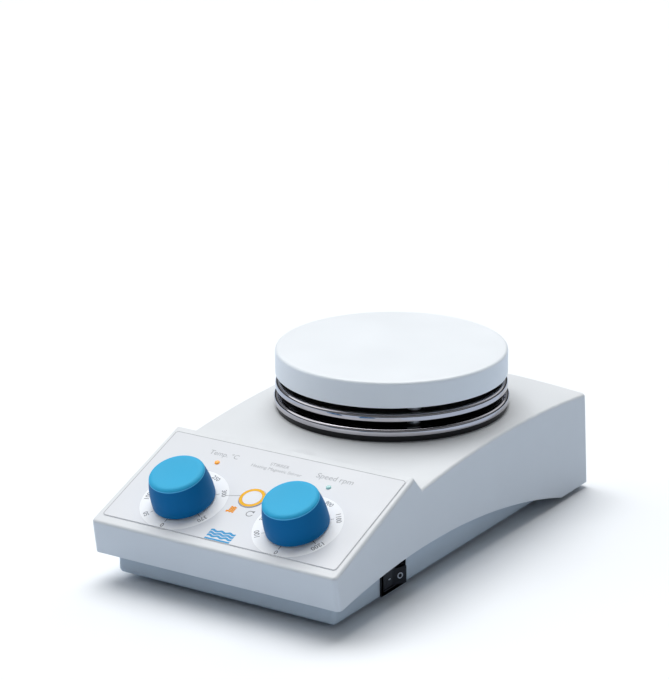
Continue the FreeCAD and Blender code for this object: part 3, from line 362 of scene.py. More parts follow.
def printed(name, colour, rough=0.5, thin=0.12):
    """Screen-printed ink: slightly uneven cover and a faint grain."""
    tree, shader = new_material(name, Specular_IOR_Level=0.12)
    texture = place_group(tree, GRAIN, Grain_Size=0.0003, Mottle_Size=0.004)
    faded = tuple(c + (0.85 - c) * thin for c in colour)
    finish_surface(tree, shader, texture, patchy(tree, texture, colour, faded),
                   (rough - 0.05, rough + 0.05), 0.000008)


JOINTS = {joint["name"]: joint for joint in frame["joints"]}
PANEL_NORMAL = -Vector(JOINTS["temperature_turn"]["axis"]).normalized()
PANEL_UP = PANEL_NORMAL.cross(Vector((1, 0, 0)))
KNOB_TOP = 20.0
KNOB_EDGE = 2.2
PIVOT_ABOVE_PANEL = 10.0


def knob_plastic(name, side, top):
    """Satin knob plastic: deep side and a paler dished top, the paler top being painted light from above, with a
    painted highlight line where they meet.
    """
    tree, shader = new_material(name, Specular_IOR_Level=0.1)
    texture = place_group(tree, GRAIN, Grain_Size=0.0007, Mottle_Size=0.02)
    rubbed = place_group(tree, WORN, Width=0.0012)
    place = add_node(tree, "ShaderNodeTexCoord")
    # painted light: the top is given a paler blue than the side, a lit top painted into the colour
    height = add_node(tree, "ShaderNodeVectorMath", {1: PANEL_NORMAL}, operation="DOT_PRODUCT")
    tree.links.new(place.outputs["Object"], height.inputs[0])
    top_edge = (PANEL_NORMAL.dot(Vector(JOINTS["temperature_turn"]["pos_m"]))
                + (KNOB_TOP - PIVOT_ABOVE_PANEL) * MM)
    painted_lit_top = add_node(tree, "ShaderNodeMapRange", {
        "From Min": top_edge - KNOB_EDGE * MM, "From Max": top_edge - 0.35 * KNOB_EDGE * MM},
        interpolation_type="SMOOTHSTEP")
    tree.links.new(height.outputs["Value"], painted_lit_top.inputs["Value"])
    colour = mix_colours(tree, painted_lit_top.outputs["Result"], side, top)
    # painted highlight: a lighter band along the rounded top edge
    lighter = tuple(min(1.0, c * 1.16 + 0.07) for c in top)
    rim = add_node(tree, "ShaderNodeMath", operation="MULTIPLY")
    wire(tree, (painted_lit_top, "Result", rim, 0), (map_value(tree, painted_lit_top.outputs["Result"], 3.6, 0.0), rim, 1))
    colour = mix_colours(tree, rim.outputs[0], colour, lighter)
    # the rubbed edges take the same highlight colour: partly edge wear, partly painted highlight
    colour = mix_colours(tree, rubbed.outputs["Wear"], colour, lighter)
    finish_surface(tree, shader, texture, colour, (0.42, 0.5), 0.00004)


def enamel(name, colour):
    """Fired enamel: very smooth, with a soft gloss and a greyer tint in patches."""
    tree, shader = new_material(name, Specular_IOR_Level=0.35)
    texture = place_group(tree, GRAIN, Grain_Size=0.0013, Mottle_Size=0.05)
    darker = tuple(c * 0.975 for c in colour)
    finish_surface(tree, shader, texture, patchy(tree, texture, darker, colour), (0.30, 0.38),
                   0.000004, strength=0.3)


PLATE_CENTRE = tuple(Vector([(low + high) / 2 for low, high in zip(*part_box("hot_plate"))]))

moulded("housing_grey", (0.74, 0.765, 0.79), 0.46, 0.0007, 0.00005, 0.97, 0.12)
moulded("tray_grey", (0.55, 0.62, 0.68), 0.5, 0.0008, 0.00006, 0.94, 0.15)
moulded("overlay_film", (0.72, 0.74, 0.775), 0.38, 0.00035, 0.000015, 0.985, 0.1)
moulded("foot_rubber", (0.022, 0.022, 0.024), 0.75, 0.0009, 0.00012, 0.7, 0.6)
moulded("black_plastic", (0.010, 0.010, 0.012), 0.34, 0.0005, 0.00003, 0.8, 0.9, Specular_IOR_Level=0.22)
moulded("rocker_black", (0.006, 0.007, 0.011), 0.3, 0.0006, 0.00001, 0.85, 0.9, Specular_IOR_Level=0.15)
moulded("key_cap", (0.75, 0.77, 0.80), 0.36, 0.00035, 0.000015, 0.985, 0.1)
metal("steel", (0.62, 0.63, 0.64), 0.28)
metal("pot_case", (0.55, 0.55, 0.56), 0.45, depth=0.00002)
metal("brass", (0.72, 0.55, 0.25), 0.25)
metal("heater_steel", (0.42, 0.38, 0.34), 0.4, PLATE_CENTRE, shade=0.6)
# painted shade: the shield pans are near black inside 65.5 mm
chrome_with_painted_shade("shield_chrome", (0.46, 0.45, 0.48), (0.012, 0.012, 0.014), PLATE_CENTRE, 0.0655)
metal("satin_steel", (0.74, 0.75, 0.77), 0.45, depth=0.00001)
metal("zinc_sheet", (0.56, 0.57, 0.58), 0.42, depth=0.00001)
metal("laminations", (0.25, 0.25, 0.26), 0.5, PLATE_CENTRE, 0.0003, 0.00006, 0.7)
metal("black_aluminium", (0.04, 0.04, 0.045), 0.45)
moulded("magnet", (0.05, 0.05, 0.055), 0.6, 0.0012, 0.00008, 0.7, 0.4)
moulded("insulation", (0.62, 0.60, 0.52), 0.9, 0.0012, 0.0003, 0.8, 0.1)
moulded("capacitor_sleeve", (0.02, 0.03, 0.09), 0.25, 0.001, 0.00002)
moulded("winding_tape", (0.75, 0.55, 0.06), 0.35, 0.0015, 0.00005)
moulded("circuit_board", (0.015, 0.16, 0.06), 0.3, 0.0014, 0.00006, 0.6)
moulded("lamp_orange", (0.95, 0.36, 0.03), 0.2, 0.0006, 0.00001, Emission_Color=(1.0, 0.36, 0.03, 1),
        Emission_Strength=0.35)
moulded("lamp_green", (0.42, 0.72, 0.70), 0.2, 0.0006, 0.00001, Emission_Color=(0.3, 0.8, 0.75, 1),
        Emission_Strength=0.08)
# the second colour is the knob's top, paler as painted light
knob_plastic("knob_blue", (0.0, 0.15, 0.385), (0.045, 0.45, 0.75))
enamel("plate_white", (0.88, 0.92, 0.96))
printed("dial_white", (0.955, 0.97, 0.985), 0.42, 0.01)
printed("ink_grey", (0.21, 0.22, 0.24))
printed("ink_pale_grey", (0.40, 0.415, 0.44))
printed("ink_orange", (0.92, 0.33, 0.01), thin=0.01)
printed("ink_amber", (0.94, 0.50, 0.0), 0.35, 0.01)
printed("ink_red", (0.70, 0.20, 0.06), thin=0.05)
printed("ink_blue", (0.05, 0.34, 0.66), thin=0.06)
printed("mark_grey", (0.42, 0.44, 0.48))


# ---------------------------------------------------------------- mesh helpers

def matrix_of(origin, across, up):
    """A frame from its origin, its x direction and its z direction."""
    x = Vector(across).normalized()
    z = Vector(up).normalized()
    matrix = Matrix((x, z.cross(x), z)).transposed().to_4x4()
    matrix.translation = Vector(origin)
    return matrix


def shift_mm(x, y, z):
    """A move in mm."""
    return Matrix.Translation((x * MM, y * MM, z * MM))


def rounded_path(points, closed=False, steps=6):
    """A path of (u, v, radius) corners with each corner turned into an arc."""
    path = []
    count = len(points)
    for index, (u, v, radius) in enumerate(points):
        corner = Vector((u, v))
        if radius <= 0 or (not closed and index in (0, count - 1)):
            path.append((u, v))
            continue
        before = Vector(points[index - 1][:2]) - corner
        after = Vector(points[(index + 1) % count][:2]) - corner
        angle = before.angle(after)
        reach = min(radius / math.tan(angle / 2), before.length * 0.49, after.length * 0.49)
        radius = reach * math.tan(angle / 2)
        start = corner + before.normalized() * reach
        end = corner + after.normalized() * reach
        bisector = (before.normalized() + after.normalized()).normalized()
        middle = corner + bisector * (radius / math.sin(angle / 2))
        first = math.atan2(start.y - middle.y, start.x - middle.x)
        sweep = math.atan2(end.y - middle.y, end.x - middle.x) - first
        sweep = (sweep + math.pi) % (2 * math.pi) - math.pi
        for step in range(steps + 1):
            turn = first + sweep * step / steps
            path.append((middle.x + radius * math.cos(turn), middle.y + radius * math.sin(turn)))
    return path


def circle(radius, count, centre=(0, 0)):
    """Points around a circle."""
    return [(centre[0] + radius * math.cos(2 * math.pi * k / count),
             centre[1] + radius * math.sin(2 * math.pi * k / count)) for k in range(count)]


ON_AXIS = 0.0001
BEVEL_STEPS = 3


def lathe(profile, place, segments=96):
    """A closed turned shape from (radius, height) points in mm, bottom centre to top centre."""
    shape = bmesh.new()
    rings = []
    for radius, height in profile:
        spots = circle(radius * MM, segments) if radius > ON_AXIS else [(0, 0)]
        rings.append([shape.verts.new((*spot, height * MM)) for spot in spots])
    pairs = list(zip(rings, rings[1:]))
    if len(rings[0]) > 1 and len(rings[-1]) > 1:
        pairs.append((rings[-1], rings[0]))
    for low, high in pairs:
        for k in range(segments):
            after = (k + 1) % segments
            if len(low) == 1:
                shape.faces.new((low[0], high[after], high[k]))
            elif len(high) == 1:
                shape.faces.new((low[k], low[after], high[0]))
            else:
                shape.faces.new((low[k], low[after], high[after], high[k]))
    bmesh.ops.recalc_face_normals(shape, faces=shape.faces)
    shape.transform(place)
    return shape


def slab(outline, low, high, place, edge=0.0, holes=()):
    """A plate of the given outline between two heights in mm, with softened top and bottom edges."""
    shape = bmesh.new()
    for loop in (outline, *holes):
        ring = [shape.verts.new((u * MM, v * MM, low * MM)) for u, v in loop]
        for first, second in zip(ring, ring[1:] + ring[:1]):
            shape.edges.new((first, second))
    bmesh.ops.triangle_fill(shape, use_beauty=True, use_dissolve=False, edges=shape.edges)
    bottom = list(shape.faces)
    raised = bmesh.ops.extrude_face_region(shape, geom=bottom)
    tops = [item for item in raised["geom"] if isinstance(item, bmesh.types.BMVert)]
    bmesh.ops.translate(shape, verts=tops, vec=(0, 0, high * MM - low * MM))
    bmesh.ops.recalc_face_normals(shape, faces=shape.faces)
    if edge > 0:
        rims = [e for e in shape.edges if len(e.link_faces) == 2
                and e.link_faces[0].normal.angle(e.link_faces[1].normal) > 1.2
                and abs(e.verts[0].co.z - e.verts[1].co.z) < 1e-7]
        bmesh.ops.bevel(shape, geom=rims, offset=edge * MM, segments=BEVEL_STEPS, profile=0.5,
                        affect="EDGES", clamp_overlap=True)
    shape.transform(place)
    return shape


def rectangle(width, height, corner, centre=(0, 0)):
    """A rectangle with rounded corners."""
    x, y = centre
    corners = [(x - width / 2, y - height / 2, corner), (x + width / 2, y - height / 2, corner),
               (x + width / 2, y + height / 2, corner), (x - width / 2, y + height / 2, corner)]
    return rounded_path(corners, True, 5)


def merge(*shapes):
    """Several bmesh shapes as one."""
    whole = bmesh.new()
    for shape in shapes:
        part = bpy.data.meshes.new("part")
        shape.to_mesh(part)
        shape.free()
        whole.from_mesh(part)
        bpy.data.meshes.remove(part)
    return whole


def add_piece(name, shape, body, material, nodes=(), sharp=32, weighted=False):
    """A finished piece from a bmesh or mesh: shaded, given its material and put on its body."""
    if isinstance(shape, bmesh.types.BMesh):
        mesh = bpy.data.meshes.new(name)
        shape.to_mesh(mesh)
        shape.free()
    else:
        mesh = shape
    mesh.materials.clear()
    mesh.materials.append(MATERIALS[material])
    for face in mesh.polygons:
        face.material_index = 0
    mesh.shade_smooth()
    mesh.set_sharp_from_angle(angle=math.radians(sharp))
    piece = bpy.data.objects.new(name, mesh)
    bpy.context.scene.collection.objects.link(piece)
    if weighted:
        flat = piece.modifiers.new("flat faces", "WEIGHTED_NORMAL")
        flat.keep_sharp = True
    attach(piece, body)
    if nodes:
        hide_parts(*nodes)


def body_of_node(node):
    """The moving body that a CAD node belongs to."""
    bodies = frame["record"]["behaviour"]["bodies"]
    return next(body for body, members in bodies.items() if node in members)


JOIN_DISTANCE = 0.000004


def smoothed_copy(node):
    """The CAD node's own shape with its triangles joined and its curved faces shaded smooth."""
    mesh = frame["nodes"][node].data.copy()
    shape = bmesh.new()
    shape.from_mesh(mesh)
    bmesh.ops.remove_doubles(shape, verts=shape.verts, dist=JOIN_DISTANCE)
    shape.to_mesh(mesh)
    shape.free()
    add_piece(node + "_skin", mesh, body_of_node(node), NODE_SLOTS[node], nodes=(node,),
              weighted=True)


def text_shape(words, width, place, thickness, weight=0.0):
    """Raised lettering of the given width (mm), centred in the given frame."""
    curve = bpy.data.curves.new("lettering", "FONT")
    curve.body = words
    curve.align_x = "CENTER"
    curve.align_y = "CENTER"
    curve.extrude = thickness * MM / 2
    curve.resolution_u = 3
    holder = bpy.data.objects.new("lettering", curve)
    bpy.context.scene.collection.objects.link(holder)
    bpy.context.view_layer.update()
    size = width * MM / holder.dimensions.x
    curve.size = size
    curve.offset = weight * size
    bpy.context.view_layer.update()
    mesh = bpy.data.meshes.new_from_object(holder.evaluated_get(bpy.context.evaluated_depsgraph_get()))
    shape = bmesh.new()
    shape.from_mesh(mesh)
    shape.transform(place @ shift_mm(0, 0, thickness / 2))
    bpy.data.objects.remove(holder)
    bpy.data.curves.remove(curve)
    bpy.data.meshes.remove(mesh)
    return shape


NODE_SLOTS = {item["node"]: item["material_slot"] for item in frame["record"]["subparts"]}


# ---------------------------------------------------------------- geometry-node repeats

class GeometryTree:
    """A geometry node tree with named inputs, ended by Realize Instances and Set Material."""

    def __init__(self, name, inputs):
        self.tree = bpy.data.node_groups.new(name, "GeometryNodeTree")
        self.sockets = {}
        for label, kind, value in inputs:
            socket = self.tree.interface.new_socket(label, in_out="INPUT", socket_type=kind)
            if value is not None:
                socket.default_value = value
            self.sockets[label] = socket.identifier
        self.tree.interface.new_socket("Geometry", in_out="OUTPUT", socket_type="NodeSocketGeometry")
        self.given = self.tree.nodes.new("NodeGroupInput")
        self.out = self.tree.nodes.new("NodeGroupOutput")

    def node(self, kind, inputs=(), **settings):
        return add_node(self.tree, kind, inputs, **settings)

    def link(self, *links):
        wire(self.tree, *links)

    def value(self, label):
        return self.given.outputs[label]

    def math(self, operation, first, second):
        item = self.node("ShaderNodeMath", operation=operation)
        for index, source in enumerate((first, second)):
            if isinstance(source, bpy.types.NodeSocket):
                self.link((source, item, index))
            else:
                item.inputs[index].default_value = source
        return item.outputs[0]

    def finish(self, instances):
        real = self.node("GeometryNodeRealizeInstances")
        paint = self.node("GeometryNodeSetMaterial")
        self.link((instances, real, 0), (real, 0, paint, "Geometry"),
                  (self.given, "Material", paint, "Material"), (paint, 0, self.out, 0))
        return self

    def make(self, material, place, **values):
        """Run the tree once and return its result as a bmesh in the given frame."""
        holder = bpy.data.objects.new("repeat", bpy.data.meshes.new("repeat"))
        bpy.context.scene.collection.objects.link(holder)
        modifier = holder.modifiers.new("repeat", "NODES")
        modifier.node_group = self.tree
        modifier[self.sockets["Material"]] = MATERIALS[material]
        for label, value in values.items():
            modifier[self.sockets[label.replace("_", " ")]] = value
        bpy.context.view_layer.update()
        mesh = bpy.data.meshes.new_from_object(holder.evaluated_get(bpy.context.evaluated_depsgraph_get()))
        holder.modifiers.remove(modifier)
        shape = bmesh.new()
        shape.from_mesh(mesh)
        bmesh.ops.recalc_face_normals(shape, faces=shape.faces)
        shape.transform(place)
        bpy.data.objects.remove(holder)
        bpy.data.meshes.remove(mesh)
        return shape


def scale_marks_tree():
    """Radial bars evenly spaced over part of a circle, as on a dial."""
    tree = GeometryTree("scale marks", [
        ("Count", "NodeSocketInt", 7), ("Radius", "NodeSocketFloat", 0.02),
        ("Length", "NodeSocketFloat", 0.002), ("Width", "NodeSocketFloat", 0.0003),
        ("Thickness", "NodeSocketFloat", 0.00005), ("Start", "NodeSocketFloat", 0.0),
        ("Sweep", "NodeSocketFloat", 5.0), ("Material", "NodeSocketMaterial", None)])
    line = tree.node("GeometryNodeMeshLine", mode="OFFSET")
    index = tree.node("GeometryNodeInputIndex").outputs[0]
    gaps = tree.math("SUBTRACT", tree.value("Count"), 1)
    part = tree.math("DIVIDE", index, gaps)
    angle = tree.math("ADD", tree.value("Start"), tree.math("MULTIPLY", part, tree.value("Sweep")))
    across = tree.math("MULTIPLY", tree.math("COSINE", angle, 0), tree.value("Radius"))
    along = tree.math("MULTIPLY", tree.math("SINE", angle, 0), tree.value("Radius"))
    spot = tree.node("ShaderNodeCombineXYZ")
    turn = tree.node("ShaderNodeCombineXYZ")
    size = tree.node("ShaderNodeCombineXYZ")
    move = tree.node("GeometryNodeSetPosition")
    bar = tree.node("GeometryNodeMeshCube")
    spread = tree.node("GeometryNodeInstanceOnPoints")
    tree.link((tree.given, "Count", line, "Count"), (line, "Mesh", move, "Geometry"),
              (across, spot, "X"), (along, spot, "Y"), (spot, 0, move, "Position"),
              (tree.given, "Length", size, "X"), (tree.given, "Width", size, "Y"),
              (tree.given, "Thickness", size, "Z"), (size, 0, bar, "Size"), (angle, turn, "Z"),
              (move, 0, spread, "Points"), (bar, "Mesh", spread, "Instance"),
              (turn, 0, spread, "Rotation"))
    return tree.finish(spread.outputs[0])


def ridge_rings_tree():
    """Stacked rings of a round section, as in a coarse thread."""
    tree = GeometryTree("ridge rings", [
        ("Count", "NodeSocketInt", 3), ("Radius", "NodeSocketFloat", 0.009),
        ("Rib", "NodeSocketFloat", 0.0004), ("Pitch", "NodeSocketFloat", 0.001),
        ("Material", "NodeSocketMaterial", None)])
    line = tree.node("GeometryNodeMeshLine", mode="OFFSET")
    step = tree.node("ShaderNodeCombineXYZ")
    ring = tree.node("GeometryNodeCurvePrimitiveCircle", {"Resolution": 72})
    section = tree.node("GeometryNodeCurvePrimitiveCircle", {"Resolution": 8})
    sweep = tree.node("GeometryNodeCurveToMesh")
    spread = tree.node("GeometryNodeInstanceOnPoints")
    tree.link((tree.given, "Count", line, "Count"), (tree.given, "Pitch", step, "Z"),
              (step, 0, line, "Offset"), (tree.given, "Radius", ring, "Radius"),
              (tree.given, "Rib", section, "Radius"), (ring, 0, sweep, "Curve"),
              (section, 0, sweep, "Profile Curve"), (line, "Mesh", spread, "Points"),
              (sweep, 0, spread, "Instance"))
    return tree.finish(spread.outputs[0])


def screw_heads_tree():
    """Cross-recessed screw heads on a grid, standing on z = 0."""
    tree = GeometryTree("screw heads", [
        ("Rows", "NodeSocketInt", 1), ("Span X", "NodeSocketFloat", 0.04),
        ("Span Y", "NodeSocketFloat", 0.0), ("Head Radius", "NodeSocketFloat", 0.003),
        ("Head Height", "NodeSocketFloat", 0.001), ("Material", "NodeSocketMaterial", None)])
    grid = tree.node("GeometryNodeMeshGrid", {"Vertices X": 2})
    head = tree.node("GeometryNodeMeshCone", {"Vertices": 40})
    recess = tree.node("GeometryNodeMeshBoolean", operation="DIFFERENCE", solver="EXACT")
    spread = tree.node("GeometryNodeInstanceOnPoints")
    tree.link((tree.given, "Rows", grid, "Vertices Y"), (tree.given, "Span X", grid, "Size X"),
              (tree.given, "Span Y", grid, "Size Y"), (tree.given, "Head Radius", head, "Radius Bottom"),
              (tree.math("MULTIPLY", tree.value("Head Radius"), 0.82), head, "Radius Top"),
              (tree.given, "Head Height", head, "Depth"), (head, "Mesh", recess, 0))
    lift = tree.node("ShaderNodeCombineXYZ")
    tree.link((tree.given, "Head Height", lift, "Z"))
    for long_side, short_side in (("X", "Y"), ("Y", "X")):
        size = tree.node("ShaderNodeCombineXYZ")
        tree.link((tree.math("MULTIPLY", tree.value("Head Radius"), 1.15), size, long_side),
                  (tree.math("MULTIPLY", tree.value("Head Radius"), 0.24), size, short_side),
                  (tree.given, "Head Height", size, "Z"))
        blade = tree.node("GeometryNodeMeshCube")
        raised = tree.node("GeometryNodeTransform")
        tree.link((size, 0, blade, "Size"), (blade, "Mesh", raised, "Geometry"),
                  (lift, 0, raised, "Translation"), (raised, 0, recess, 1))
    tree.link((grid, "Mesh", spread, "Points"), (recess, "Mesh", spread, "Instance"))
    return tree.finish(spread.outputs[0])


SCALE_MARKS = scale_marks_tree()
RIDGE_RINGS = ridge_rings_tree()
SCREW_HEADS = screw_heads_tree()


# ---------------------------------------------------------------- the control panel's frame

OVERLAY_LOW, OVERLAY_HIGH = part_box("panel_overlay")
FILM = 0.3 * MM
FILM_START = 6.0 * MM


def panel_origin():
    """Lowest front edge of the sloping panel, from the overlay film's own box."""
    up_y, up_z = PANEL_UP.y, PANEL_UP.z
    low_y = OVERLAY_LOW.y - FILM_START * up_y - FILM * PANEL_NORMAL.y
    low_z = OVERLAY_LOW.z - FILM_START * up_z
    return Vector((0, low_y, low_z))


PANEL = matrix_of(panel_origin(), (1, 0, 0), PANEL_NORMAL)


def on_panel(across, slope, above=0.0, turn=0.0):
    """A frame on the panel at a place across and up its slope (mm), lifted and turned."""
    return PANEL @ shift_mm(across, slope, above) @ Matrix.Rotation(turn, 4, "Z")


KNOB_ACROSS = 38.0
KNOB_SLOPE = 31.4
KEY_SLOPE = 44.0
LAMP_ACROSS = 37.6
LAMP_SLOPE = 65.0
INK_BASE = 0.30
INK_STEP = 0.02
NUMBER_WEIGHT = 0.012


# ---------------------------------------------------------------- prints on the panel film

def ring_shape(outer, inner, low, high, place, count=96):
    """A flat ring between two heights (mm)."""
    return lathe([(inner, low), (outer, low), (outer, high), (inner, high)], place, count)


def outline_print(width, height, corner, line, place, low, high):
    """A thin printed frame line."""
    inner = rectangle(width - 2 * line, height - 2 * line, corner - line)
    return slab(rectangle(width, height, corner), low, high, place, holes=(inner,))


def bar_print(start, end, line, low, high):
    """A straight printed line between two places on the panel (mm)."""
    first, second = Vector(start), Vector(end)
    length = (second - first).length
    middle = (first + second) / 2
    turn = math.atan2(second.y - first.y, second.x - first.x)
    return slab(rectangle(length, line, line * 0.4), low, high, on_panel(middle.x, middle.y, 0, turn))


def dial_numbers(side, values):
    """Numbers round a dial, each with its top outwards."""
    shapes = []
    for words, degrees in values:
        angle = math.radians(degrees)
        across = side * KNOB_ACROSS + NUMBER_RADIUS * math.cos(angle)
        slope = KNOB_SLOPE + NUMBER_RADIUS * math.sin(angle)
        place = on_panel(across, slope, INK_BASE + INK_STEP, angle - math.pi / 2)
        shapes.append(text_shape(words, DIGIT_WIDTH * len(words), place, INK_STEP, NUMBER_WEIGHT))
    return shapes


DIAL_RADIUS = 25.7
DIAL_HOLE = 5.6
NUMBER_RADIUS = 22.6
DIGIT_WIDTH = 1.85
TICK_RADIUS = 20.2
TEMPERATURES = (("0", 270), ("50", 230), ("100", 190), ("150", 150), ("200", 110), ("250", 70),
                ("300", 30), ("370", -30))
SPEEDS = (("0", 270), ("100", 215), ("300", 179), ("500", 143), ("700", 107), ("900", 71),
          ("1100", 34), ("1200", -29))


def dial_ticks(side, values):
    """Short lines between knob and numbers: a longer one at each end of the scale."""
    place = on_panel(side * KNOB_ACROSS, KNOB_SLOPE, INK_BASE + 1.5 * INK_STEP)
    angles = [math.radians(value[1]) for value in values]
    spans = ((2, angles[0], angles[-1], 3.0, 0.4), (6, angles[1], angles[6], 1.9, 0.3))
    return [SCALE_MARKS.make("ink_grey", place, Count=count, Radius=(TICK_RADIUS - length / 2) * MM,
                             Length=length * MM, Width=width * MM, Thickness=INK_STEP * MM,
                             Start=start, Sweep=stop - start)
            for count, start, stop, length, width in spans]


def add_dials():
    """White dial discs with ticks and numbers under both knobs."""
    discs, ticks, numbers = [], [], []
    for side, values in ((-1, TEMPERATURES), (1, SPEEDS)):
        place = on_panel(side * KNOB_ACROSS, KNOB_SLOPE)
        discs.append(ring_shape(DIAL_RADIUS, DIAL_HOLE, INK_BASE, INK_BASE + INK_STEP, place))
        ticks += dial_ticks(side, values)
        numbers += dial_numbers(side, values)
    add_piece("dial_discs", merge(*discs), HOUSING, "dial_white")
    add_piece("dial_ticks", merge(*ticks), HOUSING, "ink_grey")
    add_piece("dial_numbers", merge(*numbers), HOUSING, "ink_grey")


def wave_band(centre, length, thick, swing, waves, low, high, place):
    """One wavy printed band; sizes in mm."""
    steps = 16 * waves
    upper = []
    for k in range(steps + 1):
        u = centre[0] + length * (k / steps - 0.5)
        upper.append((u, centre[1] + swing * math.sin(2 * math.pi * waves * k / steps)))
    outline = [(u, v - thick / 2) for u, v in upper] + [(u, v + thick / 2) for u, v in reversed(upper)]
    return slab(outline, low, high, place)


def wave_print(place, low, high):
    """Four wavy bands over a foot to one side, the usual sign for heat."""
    shapes = [wave_band((0.45, -1.6 + 1.25 * row), 3.9, 1.1, 0.25, 2, low, high, place)
              for row in range(4)]
    return shapes + [slab(rectangle(1.3, 1.5, 0.2, (-2.1, -1.6)), low, high, place)]


def turn_arrow_print(place, low, high):
    """An open circle with an arrow head, the usual sign for stirring."""
    radius, thin, first, sweep, steps = 2.3, 0.78, 60, 285, 30
    angles = [math.radians(first + sweep * k / steps) for k in range(steps + 1)]
    outer = [(radius * math.cos(angle), radius * math.sin(angle)) for angle in angles]
    inner = [(u * thin, v * thin) for u, v in reversed(outer)]
    head = [(0.1, 2.0), (1.9, 0.75), (2.1, 2.75)]
    return [slab(outline, low, high, place) for outline in (outer + inner, head)]


FILM_WIDTH = (OVERLAY_HIGH.x - OVERLAY_LOW.x) / MM
FILM_LENGTH = 77.0
LINE_INSET = 0.1
MARK_WIDTH = 16.5
PANEL_WORDS = (("Temp. \u00b0C", 19.5, -37.3, 72.3), ("Speed rpm", 24.0, 37.5, 72.5),
               ("STIRRER", 12.5, 0.0, 73.2), ("Heating Magnetic Stirrer", 33.6, 0.0, 69.2))


def add_signs():
    """Words, signs and lines printed on the film."""
    low, high = INK_BASE, INK_BASE + INK_STEP
    pale = [text_shape(words, width, on_panel(across, slope, low), INK_STEP)
            for words, width, across, slope in PANEL_WORDS]
    grey = [bar_print((-16.0, 41.5), (-7.9, 44.0), 0.3, low, high)]
    grey += turn_arrow_print(on_panel(5.9, 32.1), low, high)
    middle = FILM_START / MM + FILM_LENGTH / 2
    pale.append(outline_print(FILM_WIDTH - LINE_INSET, FILM_LENGTH - LINE_INSET, 1.9, 0.42,
                              on_panel(0, middle), low, high))
    add_piece("panel_signs", merge(*grey), HOUSING, "ink_grey")
    add_piece("panel_words", merge(*pale), HOUSING, "ink_pale_grey")
    add_piece("heat_sign", merge(*wave_print(on_panel(-6.4, 32.0), low, high)), HOUSING,
              "ink_orange")
    add_piece("maker_mark", merge(*mark_print(on_panel(0.0, 10.4), low, high)), HOUSING,
              "ink_blue")


def mark_print(place, low, high):
    """A plain blue ornament where a maker would print a name: three broad waves over a band."""
    shapes = [wave_band((0.0, -0.8 + 2.1 * row), MARK_WIDTH, 1.6, 0.45, 3, low, high, place)
              for row in range(3)]
    return shapes + [slab(rectangle(MARK_WIDTH, 1.2, 0.2, (0, -3.2)), low, high, place)]


# ---------------------------------------------------------------- knobs, key and lamps

KNOB_LOW = 1.0
KNOB_FOOT_RADIUS = 18.1
KNOB_TOP_RADIUS = 14.75
KNOB_BULGE = 0.9
KNOB_DISH = 0.5


def knob_profile():
    """Tapered, slightly bulging knob with a rounded top edge and a dished face, hollow below."""
    steps = 14
    side = []
    top = KNOB_TOP - KNOB_EDGE
    for k in range(steps + 1):
        part = k / steps
        height = KNOB_LOW + 0.6 + (top - KNOB_LOW - 0.6) * part
        share = (height - KNOB_LOW) / (KNOB_TOP - KNOB_LOW)
        radius = KNOB_FOOT_RADIUS + (KNOB_TOP_RADIUS + 0.7 - KNOB_FOOT_RADIUS) * share
        side.append((radius + 4 * KNOB_BULGE * share * (1 - share), height))
    foot = [(KNOB_FOOT_RADIUS - 2.0, KNOB_LOW), (KNOB_FOOT_RADIUS - 0.35, KNOB_LOW),
            (KNOB_FOOT_RADIUS, KNOB_LOW + 0.25)]
    last = side[-1][0]
    crown = []
    for k in range(1, 9):
        turn = math.radians(11.25 * k)
        crown.append((last - KNOB_EDGE * (1 - math.cos(turn)) * 1.25, top + KNOB_EDGE * math.sin(turn)))
    rim = crown[-1][0]
    face = [(rim * (1 - k / 6), KNOB_TOP - KNOB_DISH * (1 - (1 - k / 6) ** 2)) for k in range(1, 7)]
    hollow = [(0.0, KNOB_LOW + 3.5), (6.4, KNOB_LOW + 3.5), (6.4, KNOB_LOW + 9.0),
              (KNOB_FOOT_RADIUS - 2.6, KNOB_LOW + 9.0)]
    points = hollow + foot + side + crown + face
    points[-1] = (0.0, points[-1][1])
    return points


def add_knobs():
    """Both knobs, each on its own dial body."""
    for side, node, body in ((-1, "temperature_knob", "temperature_dial"),
                             (1, "speed_knob", "speed_dial")):
        shape = lathe(knob_profile(), on_panel(side * KNOB_ACROSS, KNOB_SLOPE), 128)
        add_piece(node + "_cap", shape, body, "knob_blue", nodes=(node,), sharp=50)


def add_mode_key():
    """Round key with a printed ring, standing just proud of the film."""
    place = on_panel(0, KEY_SLOPE)
    top = 0.75
    profile = [(0, -2.6), (7.85, -2.6), (7.85, top - 0.2), (7.78, top - 0.06), (7.65, top),
               (5.4, top), (4.9, top - 0.03), (0, top - 0.06)]
    add_piece("mode_key_cap", lathe(profile, place), "mode_button", "key_cap", nodes=("mode_key",),
              sharp=40)
    add_piece("mode_key_ring", ring_shape(7.45, 5.85, top, top + INK_STEP, place),
              "mode_button", "ink_amber")
    edges = [ring_shape(7.62, 7.45, top, top + INK_STEP * 0.9, place),
             ring_shape(5.85, 5.65, top, top + INK_STEP * 0.9, place)]
    add_piece("mode_key_ring_edges", merge(*edges), "mode_button", "ink_red")


def add_lamps():
    """Two small domed lamps."""
    radius, shoulder, dome = 1.5, 0.55, 0.65
    turns = [math.radians(15 * k) for k in range(1, 6)]
    profile = [(0, -4.0), (radius, -4.0), (radius, shoulder)]
    profile += [(radius * math.cos(turn), shoulder + dome * math.sin(turn)) for turn in turns]
    profile.append((0, shoulder + dome))
    for across, node in ((-LAMP_ACROSS, "heating_lamp"), (LAMP_ACROSS, "motor_lamp")):
        add_piece(node + "_lens", lathe(profile, on_panel(across, LAMP_SLOPE), 40), HOUSING,
                  NODE_SLOTS[node], nodes=(node,), sharp=50)


# ---------------------------------------------------------------- hot plate and heat shields

PLATE_RADIUS = 68.6
PLATE_EDGE = 2.5
FLAT_RING = 1.5


def around_plate(points):
    """A shape turned about the plate's axis from (radius, height) points in mm."""
    return lathe(points, Matrix.Translation((*PLATE_CENTRE[:2], 0)), 192)


